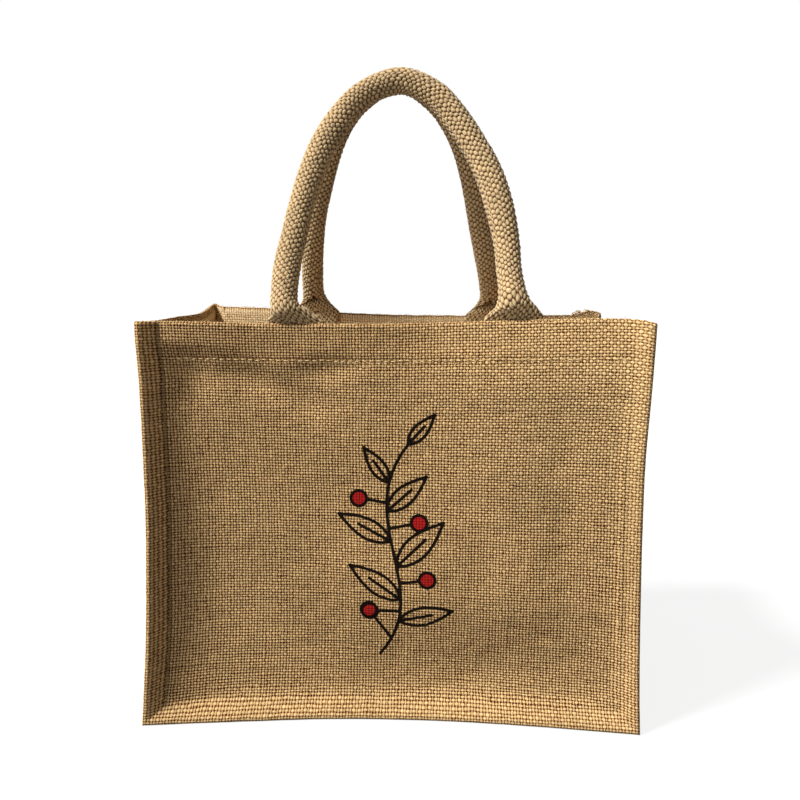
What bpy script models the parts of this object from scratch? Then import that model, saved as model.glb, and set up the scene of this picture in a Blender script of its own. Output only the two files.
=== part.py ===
"""A jute carrier bag that stands open, with two padded webbing handles that meet at the top.

Metres, +Z up. The front faces -Y, and +X is to its right as seen from the front. The origin is the
middle of the base, on the surface that the bag stands on. The maker's pieces are a front panel, a
back panel, one gusset strip that runs down one side, under the base and up the other side, and two
lengths of webbing, each folded into a padded tube with its two ends left flat and sewn to a hem.
"""

import math

import bmesh
import bpy
from mathutils import Vector

MM = 0.001

# Driving sizes
WIDTH = 0.350  # seam to seam across the front, at the rim
HEIGHT = 0.285  # floor to rim
BASE_DEPTH = 0.185  # front seam to back seam at the floor
RIM_DEPTH = 0.165  # the handles draw the two rims together
HEM = 0.027  # the turned-in top of every panel
GAP = 0.0003  # between pieces that touch

# Cloth, measured along Y on the panels and across the strip on the gusset
PANEL_CLOTH = 0.0020
PANEL_HEM = 0.0034
GUSSET_CLOTH = 0.0018
GUSSET_HEM = 0.0028
STEP_RISE = 0.0004  # half the height over which a hem's edge steps down to single cloth
HEM_CLEARANCE = 0.0015  # how far below a hem's edge the gusset already keeps clear of it

# The stiff seam allowance frames each panel: a flat lip at the seam, then a slope down to the panel
LIP = 0.0034
BAND = 0.0130  # seam to the slope's inner crease
BAND_SINK = 0.0090  # how far that crease lies behind the seam
BAND_SINK_AT_RIM = 0.0080
DISH_SINK = 0.0105  # how much further the middle of a panel sinks
DISH_REACH = 0.105  # crease to where the dish is at its deepest
DISH_AT_RIM = 0.3  # share of the dish that is left at the rim
CORNER = 0.004  # radius of the gusset's fold between a side and the base
SIDE_FULLNESS = 1.3  # how sharply a pushed-in side turns at its middle
RIM_FADE = 4  # power of the height by which an uneven rim dies out downwards

# Webbing
SECTION_SIDES = 12
SECTIONS_PER_ROW = 2
SEWN_GAP = 0.0005  # the sewn ends follow a hem that is itself a little uneven
HANDLES_APART = 0.0072  # half the spacing of the two tubes where they meet
LIFT_FADE = 0.060  # how far up a handle the uneven rim still shows
LEVEL_BELOW = 0.020  # sections lower than this turn level with the rim
SEWN_DEPTH = 0.0032  # a section this thin has square corners
TUBE_DEPTH = 0.0112  # and one this thick is round
SQUARE = 0.35  # power that squares a flat section's corners

# The mesh: columns across a panel, rows up it, and points across the gusset
EDGE_COLUMN = 0.009  # from a band's crease to the first column that spreads with the width
PANEL_COLUMN = 0.0145
LOW_ROWS = (0.022, 0.036, 0.054, 0.074, 0.096, 0.118, 0.140)
HIGH_ROWS = (0.162, 0.184, 0.202, 0.216, 0.228, 0.239, 0.249)
HEM_ROWS = (0.264, 0.2745, 0.285)
GUSSET_SHARES = (0.0, 0.06, 0.17, 0.33, 0.5, 0.67, 0.83, 0.94, 1.0)  # front seam to back seam
CORNER_STEPS = 3


def table(columns, *rows):
    """Rows in millimetres, kept as one list in metres for each named column."""
    names = columns.split()
    return {name: [row[i] * MM for row in rows] for i, name in enumerate(names)}


# How far each side seam stands in from half the width
SIDE_SEAMS = table(
    "height left right",
    (0, 0.0, 1.2),
    (26, 1.7, 2.4),
    (63, 3.7, 3.4),
    (106, 4.7, 4.1),
    (148, 5.2, 4.4),
    (193, 4.2, 4.0),
    (237, 2.7, 1.6),
    (285, 0.5, -0.5),
)
# How far the base seam of each panel stands in from half the base depth
FRONT_BASE = table(
    "x inset", (-175, -6.0), (-112, 1.6), (-39, 9.2), (30, 11.4), (82, 10.0), (127, 7.4), (175, 4.0)
)
BACK_BASE = table("x inset", (-175, -2.0), (-100, 4.0), (0, 9.0), (100, 6.0), (175, 0.0))
# How far each rim stands above or below the height
FRONT_RIM = table(
    "x lift",
    (-175, 0.0),
    (-129, -0.9),
    (-89, -2.0),
    (7, -2.0),
    (64, -0.4),
    (137, 1.9),
    (167, 1.6),
    (175, -0.3),
)
BACK_RIM = table(
    "x lift",
    (-175, 8.0),
    (-171, 7.8),
    (-167, 5.9),
    (-149, 5.2),
    (-123, 4.4),
    (-58, 0.5),
    (-3, -1.8),
    (152, -1.8),
    (162, 1.5),
    (167, 2.2),
    (172, 1.6),
    (175, 0.4),
)
# The gusset's rim, by the share of the way from the front seam to the back seam, in thousandths
LEFT_RIM = table(
    "share lift", (0, 0.0), (155, -0.8), (440, 0.3), (680, 0.3), (760, 1.2), (870, 3.9), (1000, 8.0)
)
RIGHT_RIM = table("share lift", (0, -0.3), (200, -3.0), (500, -5.0), (850, -3.6), (1000, 0.4))
# How far the middle of each side is pushed in
SIDE_SINK = table(
    "height left right",
    (0, 0.0, 0.0),
    (30, 2.0, 3.0),
    (130, 8.0, 10.0),
    (240, 6.0, 17.0),
    (285, 3.0, 21.0),
)
# Soft folds pressed into the panels, in metres; tilt is in degrees, anticlockwise as seen from the front
FRONT_FOLDS = (
    {"x": -0.097, "height": 0.243, "half_length": 0.042, "half_width": 0.010, "sink": 0.0026, "tilt": 22},
    {"x": -0.050, "height": 0.262, "half_length": 0.046, "half_width": 0.010, "sink": 0.0022, "tilt": 12},
    {"x": -0.060, "height": 0.228, "half_length": 0.026, "half_width": 0.012, "sink": 0.0020, "tilt": 8},
    {"x": 0.116, "height": 0.165, "half_length": 0.115, "half_width": 0.014, "sink": 0.0024, "tilt": 92},
    {"x": 0.062, "height": 0.112, "half_length": 0.050, "half_width": 0.018, "sink": 0.0016, "tilt": 75},
)
BACK_FOLDS = (
    {"x": -0.070, "height": 0.225, "half_length": 0.060, "half_width": 0.014, "sink": 0.0026, "tilt": -25},
    {"x": 0.095, "height": 0.150, "half_length": 0.090, "half_width": 0.016, "sink": 0.0024, "tilt": 85},
)
FOLDS_FADE_FROM = 0.240  # height from which they fade out towards the stiff hem

# Each handle, from its left end to its right end: the middle of the webbing, its own size there, and
# how far its tube bulges out over the rim
HANDLE_COLUMNS = "x rise width depth bulge"
FRONT_HANDLE = table(
    HANDLE_COLUMNS,
    (-66.9, -26.0, 39.5, 3.0, 0.0),
    (-66.9, -13.0, 39.5, 3.0, 0.0),
    (-66.9, -1.0, 40.0, 3.2, 0.0),
    (-68.4, 3.0, 35.5, 5.0, 0.6),
    (-70.6, 6.5, 27.5, 8.5, 1.8),
    (-73.2, 10.0, 20.5, 12.0, 2.8),
    (-74.9, 18.0, 17.8, 14.0, 3.0),
    (-74.7, 38.0, 18.2, 14.0, 1.5),
    (-71.0, 60.0, 17.8, 14.0, 0.0),
    (-65.6, 88.0, 17.4, 14.0, 0.0),
    (-59.8, 109.0, 18.2, 14.0, 0.0),
    (-51.6, 129.5, 19.0, 14.0, 0.0),
    (-38.4, 151.0, 19.0, 14.0, 0.0),
    (-21.9, 167.5, 18.0, 14.0, 0.0),
    (3.5, 175.8, 18.4, 14.0, 0.0),
    (27.4, 165.6, 18.6, 14.0, 0.0),
    (42.6, 148.8, 18.8, 14.0, 0.0),
    (57.8, 125.0, 18.6, 14.0, 0.0),
    (68.5, 103.0, 19.4, 14.0, 0.0),
    (75.9, 78.0, 19.2, 14.0, 0.0),
    (80.2, 54.0, 17.4, 14.0, 0.0),
    (81.6, 35.0, 16.6, 14.0, 1.5),
    (83.3, 20.0, 18.2, 14.0, 3.0),
    (84.2, 12.5, 22.4, 12.0, 2.8),
    (85.2, 7.5, 30.0, 8.5, 1.8),
    (85.2, 3.5, 37.0, 5.0, 0.6),
    (84.3, -1.0, 40.0, 3.2, 0.0),
    (84.3, -13.0, 39.5, 3.0, 0.0),
    (84.3, -26.0, 39.5, 3.0, 0.0),
)
BACK_HANDLE = table(
    HANDLE_COLUMNS,
    (-76.0, -26.0, 38.6, 3.0, 0.0),
    (-76.0, -13.0, 38.6, 3.0, 0.0),
    (-76.0, -1.0, 39.0, 3.2, 0.0),
    (-76.4, 3.0, 33.0, 5.0, 0.6),
    (-76.9, 7.0, 26.0, 8.0, 1.8),
    (-77.6, 11.5, 20.6, 11.5, 2.8),
    (-78.2, 18.0, 17.6, 14.0, 3.0),
    (-77.4, 34.0, 17.4, 14.0, 1.5),
    (-75.2, 56.0, 17.4, 14.0, 0.0),
    (-71.4, 80.0, 17.4, 14.0, 0.0),
    (-64.6, 104.5, 17.6, 14.0, 0.0),
    (-57.0, 127.0, 17.6, 14.0, 0.0),
    (-47.6, 146.4, 17.4, 14.0, 0.0),
    (-34.0, 163.6, 17.4, 14.0, 0.0),
    (-13.0, 177.2, 17.2, 14.0, 0.0),
    (6.0, 180.0, 17.0, 14.0, 0.0),
    (29.5, 165.6, 17.4, 14.0, 0.0),
    (44.6, 146.8, 17.8, 14.0, 0.0),
    (53.3, 128.4, 18.0, 14.0, 0.0),
    (59.9, 105.4, 18.0, 14.0, 0.0),
    (66.6, 73.1, 18.0, 14.0, 0.0),
    (73.0, 43.0, 17.6, 14.0, 0.0),
    (75.6, 30.0, 17.4, 14.0, 1.5),
    (77.4, 18.0, 17.6, 14.0, 3.0),
    (77.2, 11.5, 20.6, 11.5, 2.8),
    (76.6, 7.0, 26.0, 8.0, 1.8),
    (75.8, 3.0, 33.0, 5.0, 0.6),
    (75.0, -1.0, 39.0, 3.2, 0.0),
    (75.0, -13.0, 38.6, 3.0, 0.0),
    (75.0, -26.0, 38.6, 3.0, 0.0),
)

FRONT = {"out": -1, "base": FRONT_BASE, "rim": FRONT_RIM, "folds": FRONT_FOLDS}
BACK = {"out": 1, "base": BACK_BASE, "rim": BACK_RIM, "folds": BACK_FOLDS}

# Colours in linear light
JUTE = (0.36, 0.235, 0.105)
WEBBING = (0.47, 0.34, 0.18)
ROUGHNESS = 0.9
SHARP_FROM = math.radians(35)  # edges sharper than this are shaded as edges


def mix(a, b, share):
    return a + (b - a) * share


def ease(share):
    """0 to 1, with a flat start and a flat end."""
    share = min(max(share, 0.0), 1.0)
    return share * share * (3.0 - 2.0 * share)


def read(rows, column, key, at):
    """A column's value at a place along the key column, on a smooth curve through the rows."""
    keys, values = rows[key], rows[column]
    last = len(keys) - 1
    at = min(max(at, keys[0]), keys[last])
    i = max(k for k in range(last) if keys[k] <= at)

    def slope(k):
        before, after = max(k - 1, 0), min(k + 1, last)
        return (values[after] - values[before]) / (keys[after] - keys[before])

    span = keys[i + 1] - keys[i]
    t = (at - keys[i]) / span
    bend = (slope(i) * span - values[i + 1] + values[i]) * (1.0 - t)
    bend -= (slope(i + 1) * span - values[i + 1] + values[i]) * t
    return mix(values[i], values[i + 1], t) + t * (1.0 - t) * bend


def side_seam_x(height, end):
    """Where the left (end -1) or right (end 1) seam stands at a height."""
    column = "left" if end < 0 else "right"
    return end * (WIDTH / 2 - read(SIDE_SEAMS, column, "height", height))


def hem_share(height):
    """0 on single cloth, 1 on the hem."""
    line = HEIGHT - HEM
    return min(max((height - line + STEP_RISE) / (2 * STEP_RISE), 0.0), 1.0)


def panel_cloth(height):
    return mix(PANEL_CLOTH, PANEL_HEM, hem_share(height))


def fold_sink(folds, x, height):
    """How far the soft folds press a panel in at one place."""
    sink = 0.0
    for fold in folds:
        across, up = x - fold["x"], height - fold["height"]
        turn = math.radians(fold["tilt"])
        along = (across * math.cos(turn) + up * math.sin(turn)) / fold["half_length"]
        aside = (up * math.cos(turn) - across * math.sin(turn)) / fold["half_width"]
        sink += fold["sink"] * ease(1.0 - abs(along)) * math.exp(-aside * aside)
    return sink * (1.0 - ease((height - FOLDS_FADE_FROM) / (HEIGHT - HEM - FOLDS_FADE_FROM)))


def panel_y(panel, x, height):
    """The outer face of a panel: a sheet ruled from base seam to rim, sunk inside its seam band."""
    up = height / HEIGHT
    seam = mix(BASE_DEPTH / 2 - read(panel["base"], "inset", "x", x), RIM_DEPTH / 2, up)
    edge = min(x - side_seam_x(height, -1), side_seam_x(height, 1) - x, height)
    slope = min(max((edge - LIP) / (BAND - LIP), 0.0), 1.0)
    band = slope * mix(BAND_SINK, BAND_SINK_AT_RIM, ease(2.0 * up - 1.0))
    dish = DISH_SINK * ease((edge - BAND) / DISH_REACH) * mix(1.0, DISH_AT_RIM, ease(2.0 * up - 1.0))
    return panel["out"] * (seam - band - dish - slope * fold_sink(panel["folds"], x, height))


def panel_inner_y(panel, x, height):
    return panel_y(panel, x, height) - panel["out"] * panel_cloth(height)


def panel_z(panel, x, height):
    """A height on the flat panel, carried up or down with its uneven rim."""
    return height + read(panel["rim"], "lift", "x", x) * (height / HEIGHT) ** RIM_FADE


def panel_heights():
    band = (0.0, LIP, (LIP + BAND) / 2, BAND)
    hem_edge = (HEIGHT - HEM - STEP_RISE, HEIGHT - HEM + STEP_RISE)
    return (*band, *LOW_ROWS, *HIGH_ROWS, *hem_edge, *HEM_ROWS)


def panel_offsets():
    """Distances of the panel's columns from its left seam, as if it were of full width."""
    band = (0.0, LIP, (LIP + BAND) / 2, BAND, BAND + EDGE_COLUMN)
    inside = WIDTH - 2 * band[-1]
    count = round(inside / PANEL_COLUMN)
    middle = [band[-1] + inside * i / count for i in range(1, count)]
    return [*band, *middle, *(WIDTH - offset for offset in reversed(band))]


def column_x(offset, height):
    """Columns near a seam follow it, and those between share what is left."""
    left, right = side_seam_x(height, -1), side_seam_x(height, 1)
    edge = BAND + EDGE_COLUMN
    if offset <= edge:
        return left + offset
    if offset >= WIDTH - edge:
        return right - (WIDTH - offset)
    return mix(left + edge, right - edge, (offset - edge) / (WIDTH - 2 * edge))


def make_sheet(rows, shifts):
    """Cloth through rows of points, with its other face at each point plus that point's shift."""
    shape = bmesh.new()
    place = shape.verts.layers.int.new("place")
    made = bmesh.ops.create_grid(shape, x_segments=len(rows[0]) - 1, y_segments=len(rows) - 1, size=1)
    in_order = sorted(made["verts"], key=lambda vert: (round(vert.co.y, 6), vert.co.x))
    points = [point for row in rows for point in row]
    for i, vert in enumerate(in_order):
        vert[place] = i
        vert.co = points[i]
    made = bmesh.ops.extrude_face_region(shape, geom=list(shape.faces), use_keep_orig=True)
    for item in made["geom"]:
        if isinstance(item, bmesh.types.BMVert):
            item.co += Vector(shifts[item[place]])
    bmesh.ops.recalc_face_normals(shape, faces=shape.faces)
    return shape


def material(name, colour):
    made = bpy.data.materials.new(name)
    made.use_nodes = True
    shader = made.node_tree.nodes["Principled BSDF"]
    shader.inputs["Base Color"].default_value = (*colour, 1.0)
    shader.inputs["Roughness"].default_value = ROUGHNESS
    shader.inputs["Metallic"].default_value = 0.0
    return made


def finish(name, shape, colour, collection):
    """Puts a finished shape in the scene as its own object, with its own material."""
    mesh = bpy.data.meshes.new(name)
    shape.to_mesh(mesh)
    shape.free()
    mesh.shade_smooth()
    mesh.set_sharp_from_angle(angle=SHARP_FROM)
    mesh.materials.append(material(name, colour))
    made = bpy.data.objects.new(name, mesh)
    collection.objects.link(made)
    return made


def make_panel(name, panel, collection):
    """The front or back cut of jute, with its turned-in hem as thicker cloth."""
    rows, shifts = [], []
    for height in panel_heights():
        row = []
        for offset in panel_offsets():
            x = column_x(offset, height)
            row.append(Vector((x, panel_y(panel, x, height), panel_z(panel, x, height))))
            shifts.append((0.0, -panel["out"] * panel_cloth(height), 0.0))
        rows.append(row)
    return finish(name, make_sheet(rows, shifts), JUTE, collection)


def gusset_stations():
    """Places round the strip, from the left rim to the right rim.

    Each is (x, height, way in across the strip, end), where end is -1 on the left side, 1 on the
    right side and 0 on the base.
    """
    heights = [h for h in panel_heights() if h > CORNER]
    across = [o for o in panel_offsets() if CORNER < o < WIDTH - CORNER]
    left = [(side_seam_x(h, -1), h, (1.0, 0.0), -1) for h in reversed(heights)]
    right = [(side_seam_x(h, 1), h, (-1.0, 0.0), 1) for h in heights]
    base = [(column_x(o, 0.0), 0.0, (0.0, 1.0), 0) for o in across]
    corners = {}
    for end in (-1, 1):
        centre = side_seam_x(CORNER, end) - end * CORNER
        arc = []
        for step in range(CORNER_STEPS + 1):
            turn = math.pi / 2 * step / CORNER_STEPS
            out, down = math.cos(turn), math.sin(turn)
            arc.append((centre + end * CORNER * out, CORNER * (1.0 - down), (-end * out, down), 0))
        corners[end] = arc
    return [*left, *corners[-1], *base, *reversed(corners[1]), *right]


def gusset_rim_z(share, height, end):
    """A height on the strip, carried with the uneven rim of its side."""
    rim = LEFT_RIM if end < 0 else RIGHT_RIM
    return height + read(rim, "lift", "share", share) * (height / HEIGHT) ** RIM_FADE


def make_gusset(collection):
    """The strip between the panels: left side, base and right side in one length."""
    rows, shifts = [], []
    for x, height, inward, end in gusset_stations():
        cloth = mix(GUSSET_CLOTH, GUSSET_HEM, hem_share(height))
        panels = panel_cloth(height + HEM_CLEARANCE) + GAP
        front = panel_y(FRONT, x, height) + panels
        back = panel_y(BACK, x, height) - panels
        sink = read(SIDE_SINK, "left" if end < 0 else "right", "height", height) if end else 0.0
        row = []
        for share in GUSSET_SHARES:
            pushed = sink * max(math.sin(math.pi * share), 0.0) ** SIDE_FULLNESS
            z = gusset_rim_z(share, height, end) if end else height
            row.append(Vector((x + inward[0] * pushed, mix(front, back, share), z)))
            shifts.append((inward[0] * cloth, 0.0, inward[1] * cloth))
        rows.append(row)
    return finish("gusset", make_sheet(rows, shifts), JUTE, collection)


def handle_rows(rows):
    """The handle's rows with smooth ones between them."""
    names = HANDLE_COLUMNS.split()
    count = len(rows["x"])
    rows = {**rows, "row": [float(i) for i in range(count)]}
    places = [i / SECTIONS_PER_ROW for i in range((count - 1) * SECTIONS_PER_ROW + 1)]
    return [tuple(read(rows, name, "row", place) for name in names) for place in places]


def sewn_y(panel, x, rise, depth):
    """The middle of webbing of this depth that lies flat on the inside of a hem."""
    return panel_inner_y(panel, x, HEIGHT + rise) - panel["out"] * (SEWN_GAP + depth / 2)


def handle_middle(panel, rows):
    """The webbing's centre line: up the inside of the hem, then leaning in to meet its twin."""
    apex = max(rise for _, rise, _, _, _ in rows)
    flat = rows[0][3]
    points = []
    for x, rise, _, _, bulge in rows:
        if rise < 0.0:
            y = sewn_y(panel, x, rise, flat)
            z = panel_z(panel, x, HEIGHT + rise)
        else:
            y = mix(sewn_y(panel, x, 0.0, flat), panel["out"] * HANDLES_APART, rise / apex)
            y += panel["out"] * bulge
            z = HEIGHT + rise + read(panel["rim"], "lift", "x", x) * (1.0 - ease(rise / LIFT_FADE))
        points.append(Vector((x, y, z)))
    return points


def section_frame(before, after, rise):
    """The directions across the webbing and to its front: level at the rim, square to the tube above."""
    ahead = (after - before).normalized()
    level = Vector((0.0, 0.0, math.copysign(1.0, ahead.z)))
    ahead = level.lerp(ahead, ease(rise / LEVEL_BELOW)).normalized()
    across = ahead.cross(Vector((0.0, -1.0, 0.0))).normalized()
    return across, across.cross(ahead).normalized()


def make_handle(name, panel, rows, collection):
    """One length of webbing, lofted through its own sections: flat, flared, round, flared, flat."""
    rows = handle_rows(rows)
    middle = handle_middle(panel, rows)
    shape = bmesh.new()
    rings = []
    for i, (_, rise, width, depth, _) in enumerate(rows):
        across, outward = section_frame(middle[max(i - 1, 0)], middle[min(i + 1, len(rows) - 1)], rise)
        power = mix(SQUARE, 1.0, ease((depth - SEWN_DEPTH) / (TUBE_DEPTH - SEWN_DEPTH)))
        ring = []
        for k in range(SECTION_SIDES):
            turn = math.tau * (k + 0.5) / SECTION_SIDES
            c, s = math.cos(turn), math.sin(turn)
            aside = math.copysign(abs(c) ** power, c) * width / 2
            out = math.copysign(abs(s) ** power, s) * depth / 2
            point = middle[i] + across * aside + outward * out
            if rise < 0.0:
                point.y = sewn_y(panel, point.x, rise, depth) - out
            ring.append(shape.verts.new(point))
        rings.append(ring)
    for low, high in zip(rings, rings[1:], strict=False):
        for k in range(SECTION_SIDES):
            after = (k + 1) % SECTION_SIDES
            shape.faces.new((low[k], low[after], high[after], high[k]))
    shape.faces.new(rings[0])
    shape.faces.new(rings[-1])
    bmesh.ops.recalc_face_normals(shape, faces=shape.faces)
    return finish(name, shape, WEBBING, collection)


def main():
    for old in list(bpy.data.objects):
        bpy.data.objects.remove(old, do_unlink=True)
    collection = bpy.data.collections.new("jute_bag")
    bpy.context.scene.collection.children.link(collection)
    make_panel("front_panel", FRONT, collection)
    make_panel("back_panel", BACK, collection)
    make_gusset(collection)
    make_handle("handle_front", FRONT, FRONT_HANDLE, collection)
    make_handle("handle_back", BACK, BACK_HANDLE, collection)


main()
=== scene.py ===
"""A jute carrier bag with two padded webbing handles, woven over its plain solids.

Metres, +Z up, and the front faces -Y. Every cloth piece is a closed sheet: its outer face is a fine
grid with two points to a yarn, so that crowns and holes are real relief, and its inner face is a
coarser grid. The handles are strips of knuckled webbing that wrap round to meet their own edges and
open out flat where they are sewn down.
"""

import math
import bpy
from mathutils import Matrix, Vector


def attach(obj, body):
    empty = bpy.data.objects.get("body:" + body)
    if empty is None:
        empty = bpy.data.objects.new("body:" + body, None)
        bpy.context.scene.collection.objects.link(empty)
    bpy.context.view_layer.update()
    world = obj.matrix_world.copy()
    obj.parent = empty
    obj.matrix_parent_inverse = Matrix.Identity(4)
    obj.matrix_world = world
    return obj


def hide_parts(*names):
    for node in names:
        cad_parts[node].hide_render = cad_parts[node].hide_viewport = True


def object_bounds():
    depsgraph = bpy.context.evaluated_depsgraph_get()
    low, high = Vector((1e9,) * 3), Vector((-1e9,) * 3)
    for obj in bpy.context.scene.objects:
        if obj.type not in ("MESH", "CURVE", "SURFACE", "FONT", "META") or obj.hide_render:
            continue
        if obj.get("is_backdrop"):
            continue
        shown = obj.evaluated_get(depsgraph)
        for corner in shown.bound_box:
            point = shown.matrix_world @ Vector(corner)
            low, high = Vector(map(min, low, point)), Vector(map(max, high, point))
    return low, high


bl_info = {
    "name": "Jute Carrier Bag",
    "version": (1, 0, 0),
    "blender": (4, 5, 0),
    "location": "View3D > Sidebar > Jute Bag",
    "description": "Weaves a jute carrier bag over its plain solids",
    "category": "Object",
}

import bpy
import numpy as np
from mathutils import Vector

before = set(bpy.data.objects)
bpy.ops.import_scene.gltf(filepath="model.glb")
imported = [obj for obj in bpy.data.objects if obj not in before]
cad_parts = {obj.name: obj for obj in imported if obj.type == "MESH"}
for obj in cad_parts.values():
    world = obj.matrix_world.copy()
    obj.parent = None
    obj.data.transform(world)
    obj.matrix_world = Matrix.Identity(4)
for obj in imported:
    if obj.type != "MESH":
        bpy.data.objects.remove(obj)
CAD_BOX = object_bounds()

MM = 0.001

# The bag's own sizes, as in its solids
WIDTH = 0.350
HEIGHT = 0.285
BASE_DEPTH = 0.185
RIM_DEPTH = 0.165
HEM = 0.027
GAP = 0.0003
PANEL_CLOTH = 0.0020
PANEL_HEM = 0.0034
GUSSET_CLOTH = 0.0018
GUSSET_HEM = 0.0028
STEP_RISE = 0.0004
HEM_CLEARANCE = 0.0015
LIP = 0.0034
BAND = 0.0130
BAND_SINK = 0.0090
BAND_SINK_AT_RIM = 0.0080
DISH_SINK = 0.0118
DISH_AT_RIM = 0.3  # share of the dish that is left there
CORNER = 0.004
SIDE_FULLNESS = 1.3  # power that narrows the hollow of each side
RIM_FADE = 4  # power by which the rim's own lift fades downwards
SEWN_GAP = 0.0005
HANDLES_APART = 0.0072
LIFT_FADE = 0.060
LEVEL_BELOW = 0.020
SEWN_DEPTH = 0.0032
TUBE_DEPTH = 0.0112
SQUARE = 0.35  # power that squares off the profile of flat webbing
FOLDS_FADE_FROM = 0.260
FOLDS_FADE_TO = 0.276

# The weave: yarns across a panel, up a panel and across the gusset, with two grid steps to each
YARNS_ACROSS = 160
YARNS_UP = 142
GUSSET_YARNS = 74
COARSE = 4  # steps of the outer face to one of the inner face
ROLL_STEPS = 4  # steps round the rounded top of a hem
BASE_STEPS = 40  # rows of the gusset from side to side under the bag, corners included
CORNER_STEPS = 4
SELVAGE_ROUND = 0.0009  # radius of a panel's outer edge

# The dish of each panel as it really lies: steep by the left seam, and partly a long slope by the others
DISH_BY_LEFT = 0.017
DISH_BY_LEFT_LOW = 0.040  # the same near the base
LOW_REACH = 0.045
DISH_BY_RIGHT = 0.0115
DISH_BY_BASE = 0.0065
STEEP_BY_RIGHT = 0.40
STEEP_BY_BASE = 0.38
STEEP_BASE_RIGHT = 0.88  # the same on the right
STEEP_FROM = -0.03
STEEP_OVER = 0.11
LEFT_BAND = 1.16  # how deep the left and right bands are for one in the middle
RIGHT_BAND = 0.57
CORNER_FLAT = 0.50  # how much less deep the band is in the lower left corner
CORNER_UP = 0.036
CORNER_WIDE = 0.045
DISH_FLAT = 0.85  # the same for the dish
DISH_FLAT_UP = 0.042
DISH_FLAT_WIDE = 0.100
BASE_SLOPE = 0.150
BELLY = 0.0092
BELLY_AT = (0.062, 0.092)
BELLY_WIDE = 0.066
BELLY_BELOW = 0.040  # how far it reaches down from there
BELLY_ABOVE = 0.088
# The front hem leans back towards the right seam, and forward near the left one
LEAN = 0.0090
LEAN_BELOW = 0.052
LEAN_BEND = 1.5  # power by which the lean grows on its way up
LEAN_FROM = -0.030
LEAN_FULL = 0.045
LEAN_FADE = 0.012
LEAN_FORWARD = 0.50  # of the lean, on the left
FORWARD_AT = -0.137
FORWARD_WIDE = 0.036
FORWARD_FROM = 0.243
FORWARD_TO = 0.272

# Pressed lines in the cloth
STITCH_LINE = 0.0260  # below the rim
STITCH_PRESS = 0.0006
STITCH_WIDTH = 0.0013
CREASE_PRESS = 0.0010  # on the left, where the seam's band ends in a groove
RIDGE_RISE = 0.0007  # on the right, where it ends in a ridge
CREASE_WIDTH = 0.0011
CREASE_TURNS = 0.120  # the middle part of a panel over which the groove becomes a ridge

# The webbing: knuckles round it and along it, each column half a knuckle out of step with the next
KNUCKLES_ROUND = 20
KNUCKLES_ALONG = 112
STEPS_ROUND = 5  # grid steps to a knuckle
STEPS_ALONG = 7
KNUCKLE_WIDE = 0.66  # reach of a knuckle to each side, in columns
KNUCKLE_LONG = 0.49  # and along it, in knuckles
KNUCKLE_MIDDLE = 0.45  # height on a knuckle, of its own height, that lies in the webbing's surface
KNUCKLE_UNEVEN = 0.25
KNUCKLE_STRAY = 0.26  # how far a knuckle strays from its even place, in knuckles
STRAY_CELLS = (10, 7)
DRIFT = (0.34, 0.02)  # columns that the webbing turns by for each knuckle, at its start and its end
DRIFT_FADE = 1.6  # how soon the one gives way to the other
TILT = (-0.10, 0.03)  # how far each column stands above the last, in knuckles
PROFILE_STEPS = 384  # steps by which the way round the webbing is measured
CENTRE_STEPS = 3000  # and the way along it
WEBBING_THICK = 0.0028
FLAT_COVER = 0.5  # share of the way round that the webbing covers where it lies flat
TUBE_COVER = 0.995
CLOSES_FROM = 0.003  # above the rim
CLOSES_OVER = 0.014
SEAM_TURNS_FROM = 0.006
SEAM_TURNS_OVER = 0.050
FLAT_INSIDE = 0.97  # width of the inner face for that of the outer one, where the webbing lies flat
SELVAGE = 0.95  # share of the half width where the smooth selvage starts
SELVAGE_STEEP = 1.6
SELVAGE_HIGH = 0.85
SELVAGE_WAVE = 0.25


def table(columns, *rows, rest=()):
    """Rows in millimetres, kept as one array in metres for each named column.

    rest holds what the last columns are in a short row.
    """
    names = columns.split()
    start = len(names) - len(rest)
    rows = [(*row, *rest[len(row) - start :]) for row in rows]
    return {name: np.array([row[i] for row in rows]) * MM for i, name in enumerate(names)}


def records(columns, *rows):
    """One dictionary for each row, by the names of its columns."""
    return [dict(zip(columns.split(), row, strict=True)) for row in rows]


# How far each side seam stands in from half the width
SIDE_SEAMS = table(
    "height left right",
    (0, 0, 1.2), (26, 1.7, 2.4), (63, 3.7, 3.4), (106, 4.7, 4.1), (148, 5.2, 4.4), (193, 4.2, 4),
    (237, 2.7, 1.6), (285, 0.5, -0.5),
)
# How far the base seam of each panel stands in from half the base depth
FRONT_BASE = table(
    "x inset",
    (-175, -6), (-112, 1.6), (-39, 9.2), (30, 11.4), (82, 10), (127, 7.4), (175, 4),
)
BACK_BASE = table("x inset", (-175, -2.0), (-100, 4.0), (0, 9.0), (100, 6.0), (175, 0.0))
# How far each rim stands above or below the height
FRONT_RIM = table(
    "x lift",
    (-175, 0), (-129, -0.9), (-89, -2), (7, -2), (64, -0.4), (137, 1.9), (167, 1.6), (175, -0.3),
)
BACK_RIM = table(
    "x lift",
    (-175, 8), (-171, 7.8), (-167, 5.9), (-149, 5.2), (-123, 4.4), (-58, 0.5), (-3, -1.8), (152, -1.8),
    (162, 1.5), (167, 2.2), (172, 1.6), (175, 0.4),
)
# The gusset's rim, by the share of the way from the front seam to the back seam, in thousandths
LEFT_RIM = table(
    "share lift",
    (0, 0), (155, -0.8), (440, 0.3), (680, 0.3), (760, 1.2), (870, 3.9), (1000, 8),
)
RIGHT_RIM = table("share lift", (0, -0.3), (200, -3.0), (500, -5.0), (850, -3.6), (1000, 0.4))
# How far the middle of each side is pushed in
SIDE_SINK = table(
    "height left right",
    (0, 0, 0), (30, 2, 3), (130, 8, 10), (240, 6, 17), (285, 3, 21),
)
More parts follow.
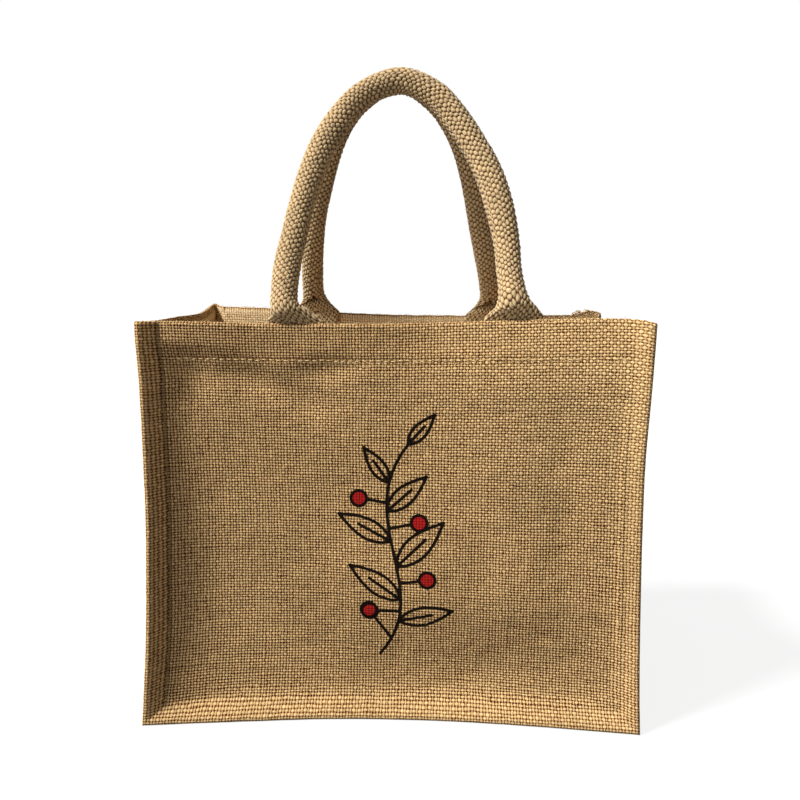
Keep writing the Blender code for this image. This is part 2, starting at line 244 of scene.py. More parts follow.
# Soft folds pressed into the panels, in metres; tilt is in degrees, anticlockwise as seen from the front
FOLD_COLUMNS = "x height half_length half_width sink tilt"
FRONT_FOLDS = records(
    FOLD_COLUMNS,
    (-0.088, 0.243, 0.050, 0.0105, 0.0032, -22), (-0.054, 0.229, 0.034, 0.012, 0.0026, 4),
    (-0.046, 0.252, 0.034, 0.009, 0.0032, 5), (-0.143, 0.252, 0.036, 0.016, 0.0034, 88),
    (0.122, 0.140, 0.115, 0.015, 0.0016, 93), (0.062, 0.112, 0.050, 0.018, 0.0016, 75),
)
BACK_FOLDS = records(
    FOLD_COLUMNS,
    (-0.070, 0.225, 0.060, 0.014, 0.0026, -25), (0.095, 0.150, 0.090, 0.016, 0.0024, 85),
)

# Each handle, from its left end to its right end: the middle of the webbing, its own size there, and
# how far its tube bulges out over the rim
HANDLE_COLUMNS = "x rise width depth bulge"
FRONT_HANDLE = table(
    HANDLE_COLUMNS,
    (-66.9, -26, 39.5, 3, 0), (-66.9, -13, 39.5, 3, 0), (-66.9, -1, 40, 3.2, 0),
    (-68.4, 3, 35.5, 6.5, 1.6), (-70.6, 6.5, 27.5, 10.5, 3.8), (-73.2, 10, 20.5, 14, 5.6),
    (-74.9, 18, 17.8, 14.4, 4.6), (-74.7, 38, 18.2, 14, 1.5), (-71, 60, 17.8), (-65.6, 88, 17.4),
    (-59.8, 109, 18.2), (-51.6, 129.5, 19), (-38.4, 151, 19), (-21.9, 167.5, 18), (3.5, 175.8, 18.4),
    (27.4, 165.6, 18.6), (42.6, 148.8, 18.8), (57.8, 125, 18.6), (68.5, 103, 19.4), (75.9, 78, 19.2),
    (80.2, 54, 17.4), (81.6, 35, 16.6, 14, 1.5), (83.3, 20, 18.2, 14.4, 4.4),
    (84.2, 12.5, 22.4, 13.6, 5.4), (85.2, 7.5, 30, 10.5, 3.8), (85.2, 3.5, 37, 6.5, 1.6),
    (84.3, -1, 40, 3.2, 0), (84.3, -13, 39.5, 3, 0), (84.3, -26, 39.5, 3, 0),
    rest=(14, 0),
)
BACK_HANDLE = table(
    HANDLE_COLUMNS,
    (-76, -26, 38.6, 3, 0), (-76, -13, 38.6, 3, 0), (-76, -1, 39, 3.2, 0), (-76.4, 3, 33, 5, 0.6),
    (-76.9, 7, 26, 8, 1.8), (-77.6, 11.5, 20.6, 11.5, 2.8), (-78.2, 18, 17.6, 14, 3),
    (-77.4, 34, 17.4, 14, 1.5), (-75.2, 56, 17.4), (-71.4, 80, 17.4), (-64.6, 104.5, 17.6),
    (-57, 127, 17.6), (-47.6, 146.4, 17.4), (-34, 163.6, 17.4), (-13, 177.2, 17.2), (6, 180, 17),
    (29.5, 165.6, 17.4), (44.6, 146.8, 17.8), (53.3, 128.4, 18), (59.9, 105.4, 18), (66.6, 73.1, 18),
    (73, 43, 17.6), (75.6, 30, 17.4, 14, 1.5), (77.4, 18, 17.6, 14, 3), (77.2, 11.5, 20.6, 11.5, 2.8),
    (76.6, 7, 26, 8, 1.8), (75.8, 3, 33, 5, 0.6), (75, -1, 39, 3.2, 0), (75, -13, 38.6, 3, 0),
    (75, -26, 38.6, 3, 0),
    rest=(14, 0),
)

FRONT = {"out": -1, "base": FRONT_BASE, "rim": FRONT_RIM, "folds": FRONT_FOLDS, "lean": LEAN}
BACK = {"out": 1, "base": BACK_BASE, "rim": BACK_RIM, "folds": BACK_FOLDS, "lean": 0.0}


def mix(a, b, share):
    return a + (b - a) * share


def ease(share):
    """0 to 1, with a flat start and a flat end."""
    share = np.clip(share, 0.0, 1.0)
    return share * share * (3.0 - 2.0 * share)


def read(rows, column, key, at):
    """A column's value at each place along the key column, on a smooth curve through the rows."""
    keys, values = rows[key], rows[column]
    last = len(keys) - 1
    at = np.clip(at, keys[0], keys[last])
    i = np.clip(np.searchsorted(keys, at, side="right") - 1, 0, last - 1)
    each = np.arange(last + 1)
    before, after = np.maximum(each - 1, 0), np.minimum(each + 1, last)
    slopes = (values[after] - values[before]) / (keys[after] - keys[before])
    span = keys[i + 1] - keys[i]
    rise = values[i + 1] - values[i]
    t = (at - keys[i]) / span
    bend = (slopes[i] * span - rise) * (1.0 - t) - (slopes[i + 1] * span - rise) * t
    return values[i] + rise * t + t * (1.0 - t) * bend


def cloud(shape, cells, seed):
    """Smooth random values from -1 to 1 over a grid, with this many grid steps from one to the next."""
    coarse = np.random.default_rng(seed).uniform(
        -1.0, 1.0, (int(shape[0] / cells[0]) + 3, int(shape[1] / cells[1]) + 3)
    )
    row = np.arange(shape[0])[:, None] / cells[0]
    column = np.arange(shape[1])[None, :] / cells[1]
    i, j = row.astype(int), column.astype(int)
    a, b = ease(row - i), ease(column - j)
    low = mix(coarse[i, j], coarse[i, j + 1], b)
    high = mix(coarse[i + 1, j], coarse[i + 1, j + 1], b)
    return mix(low, high, a)


def side_seam_x(height, end):
    """Where the left (end -1) or right (end 1) seam stands at a height."""
    column = "left" if end < 0 else "right"
    return end * (WIDTH / 2 - read(SIDE_SEAMS, column, "height", height))


def hem_share(height):
    """0 on single cloth, 1 on the hem."""
    line = HEIGHT - HEM
    return np.clip((height - line + STEP_RISE) / (2 * STEP_RISE), 0.0, 1.0)


def panel_cloth(height):
    return mix(PANEL_CLOTH, PANEL_HEM, hem_share(height))


def fold_sink(folds, x, height):
    """How far the soft folds press a panel in at each place."""
    sink = np.zeros(np.broadcast(x, height).shape)
    for fold in folds:
        across, up = x - fold["x"], height - fold["height"]
        turn = math.radians(fold["tilt"])
        along = (across * math.cos(turn) + up * math.sin(turn)) / fold["half_length"]
        aside = (up * math.cos(turn) - across * math.sin(turn)) / fold["half_width"]
        sink = sink + fold["sink"] * ease(1.0 - np.abs(along)) * np.exp(-aside * aside)
    return sink * (1.0 - ease((height - FOLDS_FADE_FROM) / (FOLDS_FADE_TO - FOLDS_FADE_FROM)))


def seam_distance(x, height):
    """How far each place on a panel is from its nearest sewn seam."""
    sides = np.minimum(x - side_seam_x(height, -1), side_seam_x(height, 1) - x)
    return np.minimum(sides, height)


def dish_share(x, height):
    """How much of its full depth the dish has at each place on a panel."""
    left, right = side_seam_x(height, -1) + BAND, side_seam_x(height, 1) - BAND
    from_left = np.maximum(x - left, 0.0)
    from_right = np.maximum(right - x, 0.0)
    from_base = np.maximum(height - BAND, 0.0)
    by_left = 1.0 - np.exp(-from_left / mix(DISH_BY_LEFT, DISH_BY_LEFT_LOW, np.exp(-height / LOW_REACH)))
    by_right = mix(from_right / (right - left), 1.0 - np.exp(-from_right / DISH_BY_RIGHT), STEEP_BY_RIGHT)
    slope = np.sin(np.minimum(from_base / BASE_SLOPE, 1.0) * math.pi / 2)
    steep = mix(STEEP_BY_BASE, STEEP_BASE_RIGHT, ease((x - STEEP_FROM) / STEEP_OVER))
    by_base = mix(slope, 1.0 - np.exp(-from_base / DISH_BY_BASE), steep)
    return by_left * by_right * by_base


def panel_y(panel, x, height):
    """The outer face of a panel: a sheet ruled from base seam to rim, sunk inside its seam band."""
    up = height / HEIGHT
    seam = mix(BASE_DEPTH / 2 - read(panel["base"], "inset", "x", x), RIM_DEPTH / 2, up)
    edge = seam_distance(x, height)
    slope = np.clip((edge - LIP) / (BAND - LIP), 0.0, 1.0)
    band = slope * mix(BAND_SINK, BAND_SINK_AT_RIM, ease(2.0 * up - 1.0))
    to_left, to_right = ease(-2.0 * x / WIDTH), ease(2.0 * x / WIDTH)
    band = band * mix(mix(1.0, LEFT_BAND, to_left), RIGHT_BAND, to_right)
    from_left = x - side_seam_x(height, -1)
    band = band * (1.0 - CORNER_FLAT * groove(height, CORNER_UP) * ease(1.0 - from_left / CORNER_WIDE))
    dish = DISH_SINK * dish_share(x, height) * mix(1.0, DISH_AT_RIM, up)
    dish = dish * (1.0 - DISH_FLAT * groove(height, DISH_FLAT_UP) * ease(1.0 - from_left / DISH_FLAT_WIDE))
    inside = band + dish + slope * fold_sink(panel["folds"], x, height) + lean(panel, x, height)
    return panel["out"] * (seam - inside + slope * belly(x, height))


def belly(x, height):
    """How far a panel swells out to the lower right of its middle."""
    reach = np.where(height < BELLY_AT[1], BELLY_BELOW, BELLY_ABOVE)
    away = ((x - BELLY_AT[0]) / BELLY_WIDE) ** 2 + ((height - BELLY_AT[1]) / reach) ** 2
    return BELLY * np.exp(-away / 2.0) * ease(height / BELLY_AT[1]) * ease((HEIGHT - height) / HEM)


def lean(panel, x, height):
    """How far a hem leans back at each place."""
    over = np.clip((height - HEIGHT + LEAN_BELOW) / LEAN_BELOW, 0.0, 1.0) ** LEAN_BEND
    reach = ease((x - LEAN_FROM) / (LEAN_FULL - LEAN_FROM))
    free = 1.0 - np.exp(-np.maximum(side_seam_x(height, 1) - x - LIP, 0.0) / LEAN_FADE)
    forward = LEAN_FORWARD * groove(x - FORWARD_AT, FORWARD_WIDE)
    forward = forward * ease((height - FORWARD_FROM) / (FORWARD_TO - FORWARD_FROM))
    return panel["lean"] * (over * reach * free - forward)


def panel_inner_y(panel, x, height):
    return panel_y(panel, x, height) - panel["out"] * panel_cloth(height)


def panel_z(panel, x, height):
    """A height on the flat panel, carried up or down with its uneven rim."""
    return height + read(panel["rim"], "lift", "x", x) * (height / HEIGHT) ** RIM_FADE


def groove(distance, width):
    """1 on a line, falling to 0 on both sides of it."""
    return np.exp(-((distance / width) ** 2))


def crossings(columns, rows):
    """0 in the holes of a plain weave, 1 on its crowns and one half between two crowns."""
    return 0.5 * (np.cos(np.pi * columns) ** 2 + np.cos(np.pi * rows) ** 2)


def unit(vectors):
    """The same directions, each of length 1."""
    return vectors / np.maximum(np.linalg.norm(vectors, axis=-1, keepdims=True), 1e-12)


def normals_of(points):
    """The direction square to a grid of points, by its rows and columns."""
    return unit(np.cross(np.gradient(points, axis=1), np.gradient(points, axis=0)))


def stack(*parts):
    return np.stack(np.broadcast_arrays(*parts), axis=-1)


def add_object(name, data):
    made = bpy.data.objects.new(name, data)
    bpy.context.scene.collection.objects.link(made)
    return made


# Where each part of a sheet lies on its square map for textures
OUTER_MAP = (0.01, 0.01, 0.99, 0.60)
INNER_MAP = (0.01, 0.66, 0.99, 0.99)
EDGE_LANES = {"low": 0.612, "high": 0.622, "left": 0.632, "right": 0.642}
LANE_HIGH = 0.006
LANE_START = 0.01
LANE_LONG = 0.98


def map_grid(rows, columns, area):
    """Each grid point's place on the map."""
    left, low, right, high = area
    u = mix(left, right, np.arange(columns) / (columns - 1))
    v = mix(low, high, np.arange(rows) / (rows - 1))
    return np.stack(np.meshgrid(u, v), axis=-1).reshape(-1, 2)


def quads(rows, columns, start):
    """The four corners of each cell of a grid whose points are numbered from start."""
    i, j = np.meshgrid(np.arange(rows - 1), np.arange(columns - 1), indexing="ij")
    corner = (start + i * columns + j).reshape(-1)
    return np.stack([corner, corner + 1, corner + columns + 1, corner + columns], axis=1)


def edge_faces(shape, first, inner_shape):
    """The faces that close a sheet's four edges, one to a coarse step, and their places on the map."""
    rows, columns = shape
    inner_rows, inner_columns = inner_shape
    last = first + (inner_rows - 1) * COARSE
    start = rows * columns
    faces, places = [], []

    def add(fine, coarse, lane, step, steps):
        low = EDGE_LANES[lane]
        left = LANE_START + LANE_LONG * step / steps
        long = LANE_LONG / steps
        ring = [(k, (left + long * n / (len(fine) - 1), low)) for n, k in enumerate(fine)]
        spread = max(len(coarse) - 1, 1)
        ring += [(k, (left + long * (1 - n / spread), low + LANE_HIGH)) for n, k in enumerate(coarse)]
        if lane in ("low", "right"):
            ring.reverse()
        faces.append([k for k, _ in ring])
        places.extend(place for _, place in ring)

    steps = inner_columns - 1
    for j in range(steps):
        fine = range(j * COARSE, (j + 1) * COARSE + 1)
        add([*fine], [start + j + 1, start + j], "low", j, steps)
        top = start + (inner_rows - 1) * inner_columns
        add([(rows - 1) * columns + k for k in fine], [top + j + 1, top + j], "high", j, steps)
    steps = inner_rows + 1
    for lane, j, k in (("left", 0, 0), ("right", columns - 1, inner_columns - 1)):
        column = [i * columns + j for i in range(rows)]
        inside = [start + i * inner_columns + k for i in range(inner_rows)]
        if first > 0:
            add(column[: first + 1], inside[:1], lane, 0, steps)
        for i in range(inner_rows - 1):
            fine = column[first + i * COARSE : first + (i + 1) * COARSE + 1]
            add(fine, [inside[i + 1], inside[i]], lane, i + 1, steps)
        if last < rows - 1:
            add(column[last:], inside[-1:], lane, steps - 1, steps)
    return faces, places


def closed_sheet(name, outer, inner, first, weave, materials, lined=None, marks=(), flip=False):
    """A sheet with a fine outer face and a coarse inner one, which starts at the fine row called first.

    weave is each outer point's place counted in yarns. lined holds each inner cell's material by
    its number. marks hold values for the outer face's points, and one for all the others, by name.
    """
    rows, columns = outer.shape[:2]
    inner_rows, inner_columns = inner.shape[:2]
    last = first + (inner_rows - 1) * COARSE
    points = np.concatenate([outer.reshape(-1, 3), inner.reshape(-1, 3)])
    outside = quads(rows, columns, 0)
    inside = quads(inner_rows, inner_columns, rows * columns)[:, ::-1]
    edges, edge_places = edge_faces((rows, columns), first, (inner_rows, inner_columns))
    mesh = bpy.data.meshes.new(name)
    mesh.from_pydata(points.tolist(), [], outside.tolist() + inside.tolist() + edges)

    grids = [map_grid(rows, columns, OUTER_MAP), map_grid(inner_rows, inner_columns, INNER_MAP)]
    on_grids = np.concatenate([outside.reshape(-1), inside.reshape(-1)])
    places = np.concatenate([np.concatenate(grids)[on_grids], np.array(edge_places)])
    layer = mesh.uv_layers.new(name="OFBake")
    layer.uv.foreach_set("vector", places.astype(np.float32).reshape(-1))

    picked = weave[first : last + 1 : COARSE, ::COARSE]
    yarns = np.concatenate([weave.reshape(-1, 2), picked.reshape(-1, 2)])
    corners = np.empty(len(mesh.loops), np.int32)
    mesh.loops.foreach_get("vertex_index", corners)
    layer = mesh.uv_layers.new(name="weave")
    layer.uv.foreach_set("vector", yarns[corners].astype(np.float32).reshape(-1))

    for mark, (values, elsewhere) in dict(marks).items():
        rest = np.full(inner_rows * inner_columns, elsewhere)
        held = mesh.attributes.new(mark, "FLOAT", "POINT")
        held.data.foreach_set("value", np.concatenate([values.reshape(-1), rest]).astype(np.float32))
    slots = np.zeros(len(mesh.polygons), np.int32)
    if lined is not None:
        slots[len(outside) : len(outside) + len(inside)] = lined.reshape(-1)
        slots[len(outside) + len(inside) + 1 :: 2][: inner_columns - 1] = lined[-1]
    mesh.polygons.foreach_set("material_index", slots)
    for each in materials:
        mesh.materials.append(each)
    if flip:
        mesh.flip_normals()
    mesh.shade_smooth()
    mesh.update()
    return add_object(name, mesh)


# How the woven cloth is uneven: how far, and over how many grid steps up and across
CLOTH_WAVER, CLOTH_CELLS = 0.00030, (26, 30)
YARN_WAVER, YARN_CELLS = 0.00028, (20, 2)
ROUGH_CLOTH, ROUGH_CELLS = 0.00022, (7, 9)
YARN_UNEVEN, YARN_RUN = 0.30, (40, 2)
LEAST_RELIEF = 0.35  # at a sewn edge, where the weave is pressed flat


def relief(columns, rows, seed):
    """How far a plain weave stands out at each point of a grid in yarn units."""
    shape = np.broadcast(columns, rows).shape
    high = crossings(columns, rows)
    thick = 1.0 + YARN_UNEVEN * (cloud(shape, YARN_RUN, seed) + cloud(shape, YARN_RUN[::-1], seed + 1))
    cloth = bpy.context.scene.jute_bag_cloth
    woven = np.where(high > 0.5, cloth.crown_height, cloth.hole_depth) * (2.0 * high - 1.0)
    return woven * thick + ROUGH_CLOTH * cloud(shape, ROUGH_CELLS, seed + 2)


def make_panel(name, panel, seed, materials, marks=None):
    """The front or back cut of jute, with its turned-in hem and its rounded top."""
    steps_across, steps_up = 2 * YARNS_ACROSS, 2 * YARNS_UP
    roll = PANEL_HEM / 2
    share = np.arange(steps_across + 1)[None, :] / steps_across
    row = np.arange(steps_up + ROLL_STEPS + 1)
    height = np.minimum(row / steps_up, 1.0)[:, None] * (HEIGHT - roll)
    turn = np.maximum(row - steps_up, 0)[:, None] * math.pi / ROLL_STEPS
    left, right = side_seam_x(height, -1), side_seam_x(height, 1)
    x = mix(left, right, share)
    shape = x.shape
    calm = np.clip(seam_distance(x, height) / BAND, 0.0, 1.0) * np.clip((HEIGHT - height) / HEM, 0.0, 1.0)
    x = x + YARN_WAVER * calm * cloud(shape, YARN_CELLS, seed + 5)
    flat = height + YARN_WAVER * calm * cloud(shape, YARN_CELLS[::-1], seed + 6)
    edge = seam_distance(x, flat)
    out = panel["out"]
    y = panel_y(panel, x, flat)
    curl = SELVAGE_ROUND * np.clip(1.0 - edge / SELVAGE_ROUND, 0.0, 1.0) ** 2
    to_right = ease(0.5 + x / CREASE_TURNS)
    shaded_crease = groove(np.minimum(x - left, right - x) - BAND, CREASE_WIDTH) * ease(flat / BAND - 0.5)
    inwards = curl + shaded_crease * mix(CREASE_PRESS, -RIDGE_RISE, to_right)
    line = STITCH_PRESS * groove(HEIGHT - STITCH_LINE - flat, STITCH_WIDTH)
    inwards = inwards + line * np.clip((edge - LIP) / BAND, 0.0, 1.0)
    inwards = inwards - CLOTH_WAVER * calm * cloud(shape, CLOTH_CELLS, seed + 7)
    y = y - out * inwards - out * roll * (1.0 - np.cos(turn))
    z = panel_z(panel, x, flat) + roll * np.sin(turn)
    base = stack(x, y, z)
    columns = np.arange(steps_across + 1)[None, :] / 2.0
    rows = row[:, None] / 2.0
    away = normals_of(base) * -out
    outer = base + away * (relief(columns, rows, seed) * np.clip(edge / LIP, LEAST_RELIEF, 1.0))[..., None]
    outer[..., 2] = np.maximum(outer[..., 2], 0.0)
    picked = (slice(0, steps_up - COARSE + 1, COARSE), slice(None, None, COARSE))
    cloth = np.broadcast_to(panel_cloth(height), shape)
    inner = base[picked].copy()
    inner[..., 1] -= out * cloth[picked]
    inner_height = np.broadcast_to(height, shape)[picked][:-1, :-1]
    lined = np.where(inner_height < HEIGHT - HEM, 1, 2)
    found = {
        "hem": (hem_share(flat), 0.0),
        "band": (1.0 - ease((edge - BAND + LIP) / LIP), 0.0),
        # Painted shade along the crease on the left, where the seam's band ends in a groove
        "shaded_crease": (shaded_crease * (1.0 - to_right), 0.0),
    }
    if marks is not None:
        found.update(marks(x, flat))
    return closed_sheet(name, outer, inner, 0, stack(columns, rows), materials, lined, found, flip=out > 0)


def gusset_path():
    """Places down the left side, under the base and up the right side, from rim to rim.

    Each is its end (-1 left, 1 right, 0 base), its height, its turn and the way into the bag. A height
    of None stands for a rounded corner, and the turn under the base is the share of the way across.
    """
    steps_up = 2 * YARNS_UP
    heights = mix(CORNER, HEIGHT - GUSSET_HEM / 2, np.arange(steps_up + 1) / steps_up)
    path = []
    rolls = [math.pi * step / ROLL_STEPS for step in range(1, ROLL_STEPS + 1)]
    path += [(-1, heights[-1], roll, (1.0, 0.0)) for roll in rolls[::-1]]
    path += [(-1, h, 0.0, (1.0, 0.0)) for h in heights[::-1]]
    corner = math.pi / 2 / CORNER_STEPS
    path += [(-1, None, corner * k, None) for k in range(1, CORNER_STEPS + 1)]
    flat = BASE_STEPS - 2 * CORNER_STEPS
    path += [(0, 0.0, k / flat, (0.0, 1.0)) for k in range(1, flat)]
    path += [(1, None, corner * k, None) for k in range(CORNER_STEPS, 0, -1)]
    path += [(1, h, 0.0, (-1.0, 0.0)) for h in heights]
    path += [(1, heights[-1], roll, (-1.0, 0.0)) for roll in rolls]
    return path


GUSSET_SEED = 71


def make_gusset(materials):
    """The strip between the panels: left side, base and right side in one length."""
    columns = np.arange(2 * GUSSET_YARNS + 1) / 2.0
    share = columns / GUSSET_YARNS
    roll = GUSSET_HEM / 2
    bases, inners, on_side = [], [], []
    left_end = side_seam_x(CORNER, -1) + CORNER
    right_end = side_seam_x(CORNER, 1) - CORNER
    for end, height, turn, inward in gusset_path():
        side = 0 if height is None else end
        if height is None:
            height = CORNER * (1.0 - math.sin(turn))
            x = (left_end if end < 0 else right_end) + end * CORNER * math.cos(turn)
            inward = (-end * math.cos(turn), math.sin(turn))
        elif end == 0:
            x = mix(left_end, right_end, turn)
        else:
            x = side_seam_x(height, end)
        cloth = mix(GUSSET_CLOTH, GUSSET_HEM, hem_share(height))
        panels = panel_cloth(height + HEM_CLEARANCE) + GAP
        front = panel_y(FRONT, x, height) + panels
        back = panel_y(BACK, x, height) - panels
        z = np.full(share.shape, height)
        pushed = 0.0
        if side:
            sink = read(SIDE_SINK, "left" if side < 0 else "right", "height", height)
            pushed = sink * np.maximum(np.sin(math.pi * share), 0.0) ** SIDE_FULLNESS
            rim = LEFT_RIM if side < 0 else RIGHT_RIM
            z = z + read(rim, "lift", "share", share) * (height / HEIGHT) ** RIM_FADE
        y = mix(front, back, share)
        rolled = turn if side else 0.0
        over = roll * (1.0 - math.cos(rolled))
        base = stack(x + inward[0] * (pushed + over), y, z + roll * math.sin(rolled))
        bases.append(base)
        inners.append(base + np.array((inward[0] * cloth, 0.0, inward[1] * cloth)))
        on_side.append(bool(side))
    base = np.array(bases)
    inner = np.array(inners)
    lengths = np.linalg.norm(np.diff(base, axis=0), axis=2).mean(axis=1)
    along = np.concatenate([[0.0], np.cumsum(lengths)]) / (HEIGHT / YARNS_UP)
    rows = np.arange(len(base)) / 2.0
    steps_up = 2 * YARNS_UP + ROLL_STEPS
    on_side = np.array(on_side)
    lattice = np.where(on_side, rows, 0.0)
    stands = relief(columns[None, :], lattice[:, None], GUSSET_SEED) * on_side[:, None]
    outer = base - normals_of(base) * stands[..., None]
    first = 2 * COARSE
    last = first + (len(base) - 1 - 2 * first) // COARSE * COARSE
    picked = (slice(first, last + 1, COARSE), slice(None, None, COARSE))
    yarns = np.where(on_side, rows, steps_up / 2.0 + along - along[steps_up])
    weave = stack(columns[None, :], yarns[:, None])
    lined = np.where(inner[picked][:-1, :-1, 2] < HEIGHT - HEM, 1, 2)
    return closed_sheet("gusset_cloth", outer, inner[picked], first, weave, materials, lined, flip=True)


def sewn_y(panel, x, rise, depth):
    """The middle of webbing of this depth that lies flat on the inside of a hem."""
    return panel_inner_y(panel, x, HEIGHT + rise) - panel["out"] * (SEWN_GAP + depth / 2)


def handle_middle(panel, rows, places):
    """The webbing's own sizes and its centre line at places counted in rows of its table."""
    rows = {**rows, "row": np.arange(len(rows["x"]), dtype=float)}
    x, rise, width, depth, bulge = (read(rows, name, "row", places) for name in HANDLE_COLUMNS.split())
    flat = rows["depth"][0]
    apex = rise.max()
    free_y = mix(sewn_y(panel, x, 0.0 * x, flat), panel["out"] * HANDLES_APART, rise / apex)
    free_y = free_y + panel["out"] * bulge
    lift = read(panel["rim"], "lift", "x", x)
    below = np.minimum(rise, 0.0)
    y = np.where(rise < 0.0, sewn_y(panel, x, below, flat), free_y)
    free_z = HEIGHT + rise + lift * (1.0 - ease(rise / LIFT_FADE))
    z = np.where(rise < 0.0, panel_z(panel, x, HEIGHT + below), free_z)
    return stack(x, y, z), rise, width, depth


def even_places(panel, rows, count):
    """Places along a handle's table that are evenly far apart on its centre line."""
    dense = np.linspace(0.0, len(rows["x"]) - 1.0, CENTRE_STEPS)
    middle = handle_middle(panel, rows, dense)[0]
    length = np.concatenate([[0.0], np.cumsum(np.linalg.norm(np.diff(middle, axis=0), axis=1))])
    return np.interp(np.linspace(0.0, length[-1], count), length, dense)


def powered(value, power):
    return np.sign(value) * np.abs(value) ** power


def knuckle_places(t, seam):
    """Each point's column and row among the knuckles, by its place across and the webbing's turn."""
    along = np.arange(len(seam))[:, None] / STEPS_ALONG
    drift = mix(*DRIFT, ease(DRIFT_FADE * along / KNUCKLES_ALONG))
    tilt = mix(*TILT, ease(along / KNUCKLES_ALONG))
    twist = seam[:, None] / (2 * math.pi) * KNUCKLES_ROUND
    round_it = t[None, :] * KNUCKLES_ROUND / 2
    shape = (len(seam), len(t))
    column = round_it + twist + np.cumsum(drift, axis=0) / STEPS_ALONG
    column = column + KNUCKLE_STRAY * cloud(shape, STRAY_CELLS, 51)
    return column, along + tilt * round_it + KNUCKLE_STRAY * cloud(shape, STRAY_CELLS, 52)


def knuckles(column, row):
    """1 on the middle of a knuckle, falling to 0 between the knuckles."""
    own = np.round(column)
    plump = 0.0
    for place in (own, own + np.sign(column - own)):
        level = row + 0.5 * (place % 2.0)
        level = (level - np.round(level)) / KNUCKLE_LONG
        plump = np.maximum(plump, 1.0 - ((column - place) / KNUCKLE_WIDE) ** 2 - level**2)
    return np.sqrt(plump)


def make_handle(name, panel, rows, seam_flat, seam_tube, materials):
    """Knuckled webbing that wraps round into a tube and opens out flat at both ends."""
    steps_round = KNUCKLES_ROUND * STEPS_ROUND
    steps_along = KNUCKLES_ALONG * STEPS_ALONG
    places = even_places(panel, rows, steps_along + 1)
    middle, rise, width, depth = handle_middle(panel, rows, places)
    ahead = unit(np.gradient(middle, axis=0))
    upright = np.zeros_like(ahead)
    upright[:, 2] = np.sign(ahead[:, 2])
    ahead = unit(mix(upright, ahead, ease(rise / LEVEL_BELOW)[:, None]))
    across = unit(np.cross(ahead, (0.0, -1.0, 0.0)))
    outward = np.cross(across, ahead)
    power = mix(SQUARE, 1.0, ease((depth - SEWN_DEPTH) / (TUBE_DEPTH - SEWN_DEPTH)))
    closed = ease((rise - CLOSES_FROM) / CLOSES_OVER)
    seam = np.radians(mix(seam_flat, seam_tube, ease((rise - SEAM_TURNS_FROM) / SEAM_TURNS_OVER)))
    cover = mix(FLAT_COVER, TUBE_COVER, closed)
    t = np.linspace(-1.0, 1.0, steps_round + 1)
    ring = np.linspace(-math.pi, math.pi, PROFILE_STEPS + 1)
    outer = np.empty((steps_along + 1, steps_round + 1, 3))
    inner = np.empty_like(outer)

    def profile(turn, i):
        aside = powered(np.cos(turn), power[i]) * width[i] / 2
        return aside, powered(np.sin(turn), power[i]) * depth[i] / 2

    for i in range(steps_along + 1):
        turn = seam[i] + math.pi + ring
        aside, out = profile(turn, i)
        length = np.concatenate([[0.0], np.cumsum(np.hypot(np.diff(aside), np.diff(out)))])
        length -= np.interp(0.0, ring, length)
        half = np.where(t < 0, -length[0], length[-1]) * cover[i]
        aside, out = profile(np.interp(t * half, length, turn), i)
        outer[i] = middle[i] + np.outer(aside, across[i]) + np.outer(out, outward[i])
        hollow = 1.0 - 4.0 * WEBBING_THICK / (width[i] + depth[i])
        aside = mix(aside * FLAT_INSIDE, aside * hollow, closed[i])
        out = mix(-out, out * hollow, closed[i])
        inner[i] = middle[i] + np.outer(aside, across[i]) + np.outer(out, outward[i])
        if rise[i] < 0.0:
            for face in (outer, inner):
                depth_here = np.dot(face[i] - middle[i], outward[i])
                flat_y = sewn_y(panel, face[i, :, 0], rise[i], depth[i])
                face[i, :, 1] = flat_y + depth_here * outward[i, 1]
    column, row = knuckle_places(t, seam)
    edge = ease((np.abs(t)[None, :] - SELVAGE) / (1.0 - SELVAGE) * SELVAGE_STEEP)
    high = mix(knuckles(column, row), SELVAGE_HIGH + SELVAGE_WAVE * np.cos(row * 2 * np.pi), edge)
    uneven = 1.0 + KNUCKLE_UNEVEN * cloud(high.shape, (5, 5), 31)
    away = normals_of(outer)
    away *= np.sign(np.einsum("ijk,ijk->ij", away, outer - middle[:, None, :]).mean())
    plumpness = (high - KNUCKLE_MIDDLE) * bpy.context.scene.jute_bag_webbing.knuckle_height
    outer = outer + away * (plumpness * uneven)[..., None]
    marks = {"selvage": (np.broadcast_to(edge, high.shape), 0.0)}
    inner = inner[::COARSE, ::COARSE]
    return closed_sheet(name, outer, inner, 0, stack(column, row), materials, None, marks)


# The print: a sprig with berries, in millimetres from the panel's middle and up from the floor
STEM = ((-8, 44), (34, 96), (-30, 144), (12, 200))
STEM_STEPS = 24
LEAF_STEPS = 9
LEAVES = records(
    "at turn long",
    (0.17, 62, 40), (0.28, -56, 44), (0.44, 56, 47), (0.56, -52, 42), (0.70, 50, 38), (0.83, -48, 31),
    (1.00, 4, 28),
)
LEAF_PLUMP = 0.17  # half the width of a leaf over its length
LEAF_RIB = 0.62  # length of its rib over its length
BERRIES = records(
    "at turn long",
    (0.08, -64, 27), (0.22, -98, 22), (0.36, 88, 20), (0.62, 86, 22), (0.74, -84, 20),
)
BERRY = 5.6
FAR = 10.0  # distance, in millimetres, given to places away from the print


def stem_at(t):
    """A place on the stem and the direction that it grows in there."""
    points = [np.array(point, dtype=float) for point in STEM]
    ways = [b - a for a, b in zip(points, points[1:], strict=False)]
    u = 1.0 - t
    place = u**3 * points[0] + 3 * u * u * t * points[1] + 3 * u * t * t * points[2] + t**3 * points[3]
    way = u * u * ways[0] + 2 * u * t * ways[1] + t * t * ways[2]
    return place, way / np.linalg.norm(way)


def turned(way, degrees):
    cosine, sine = math.cos(math.radians(degrees)), math.sin(math.radians(degrees))
    return np.array((way[0] * cosine + way[1] * sine, way[1] * cosine - way[0] * sine))


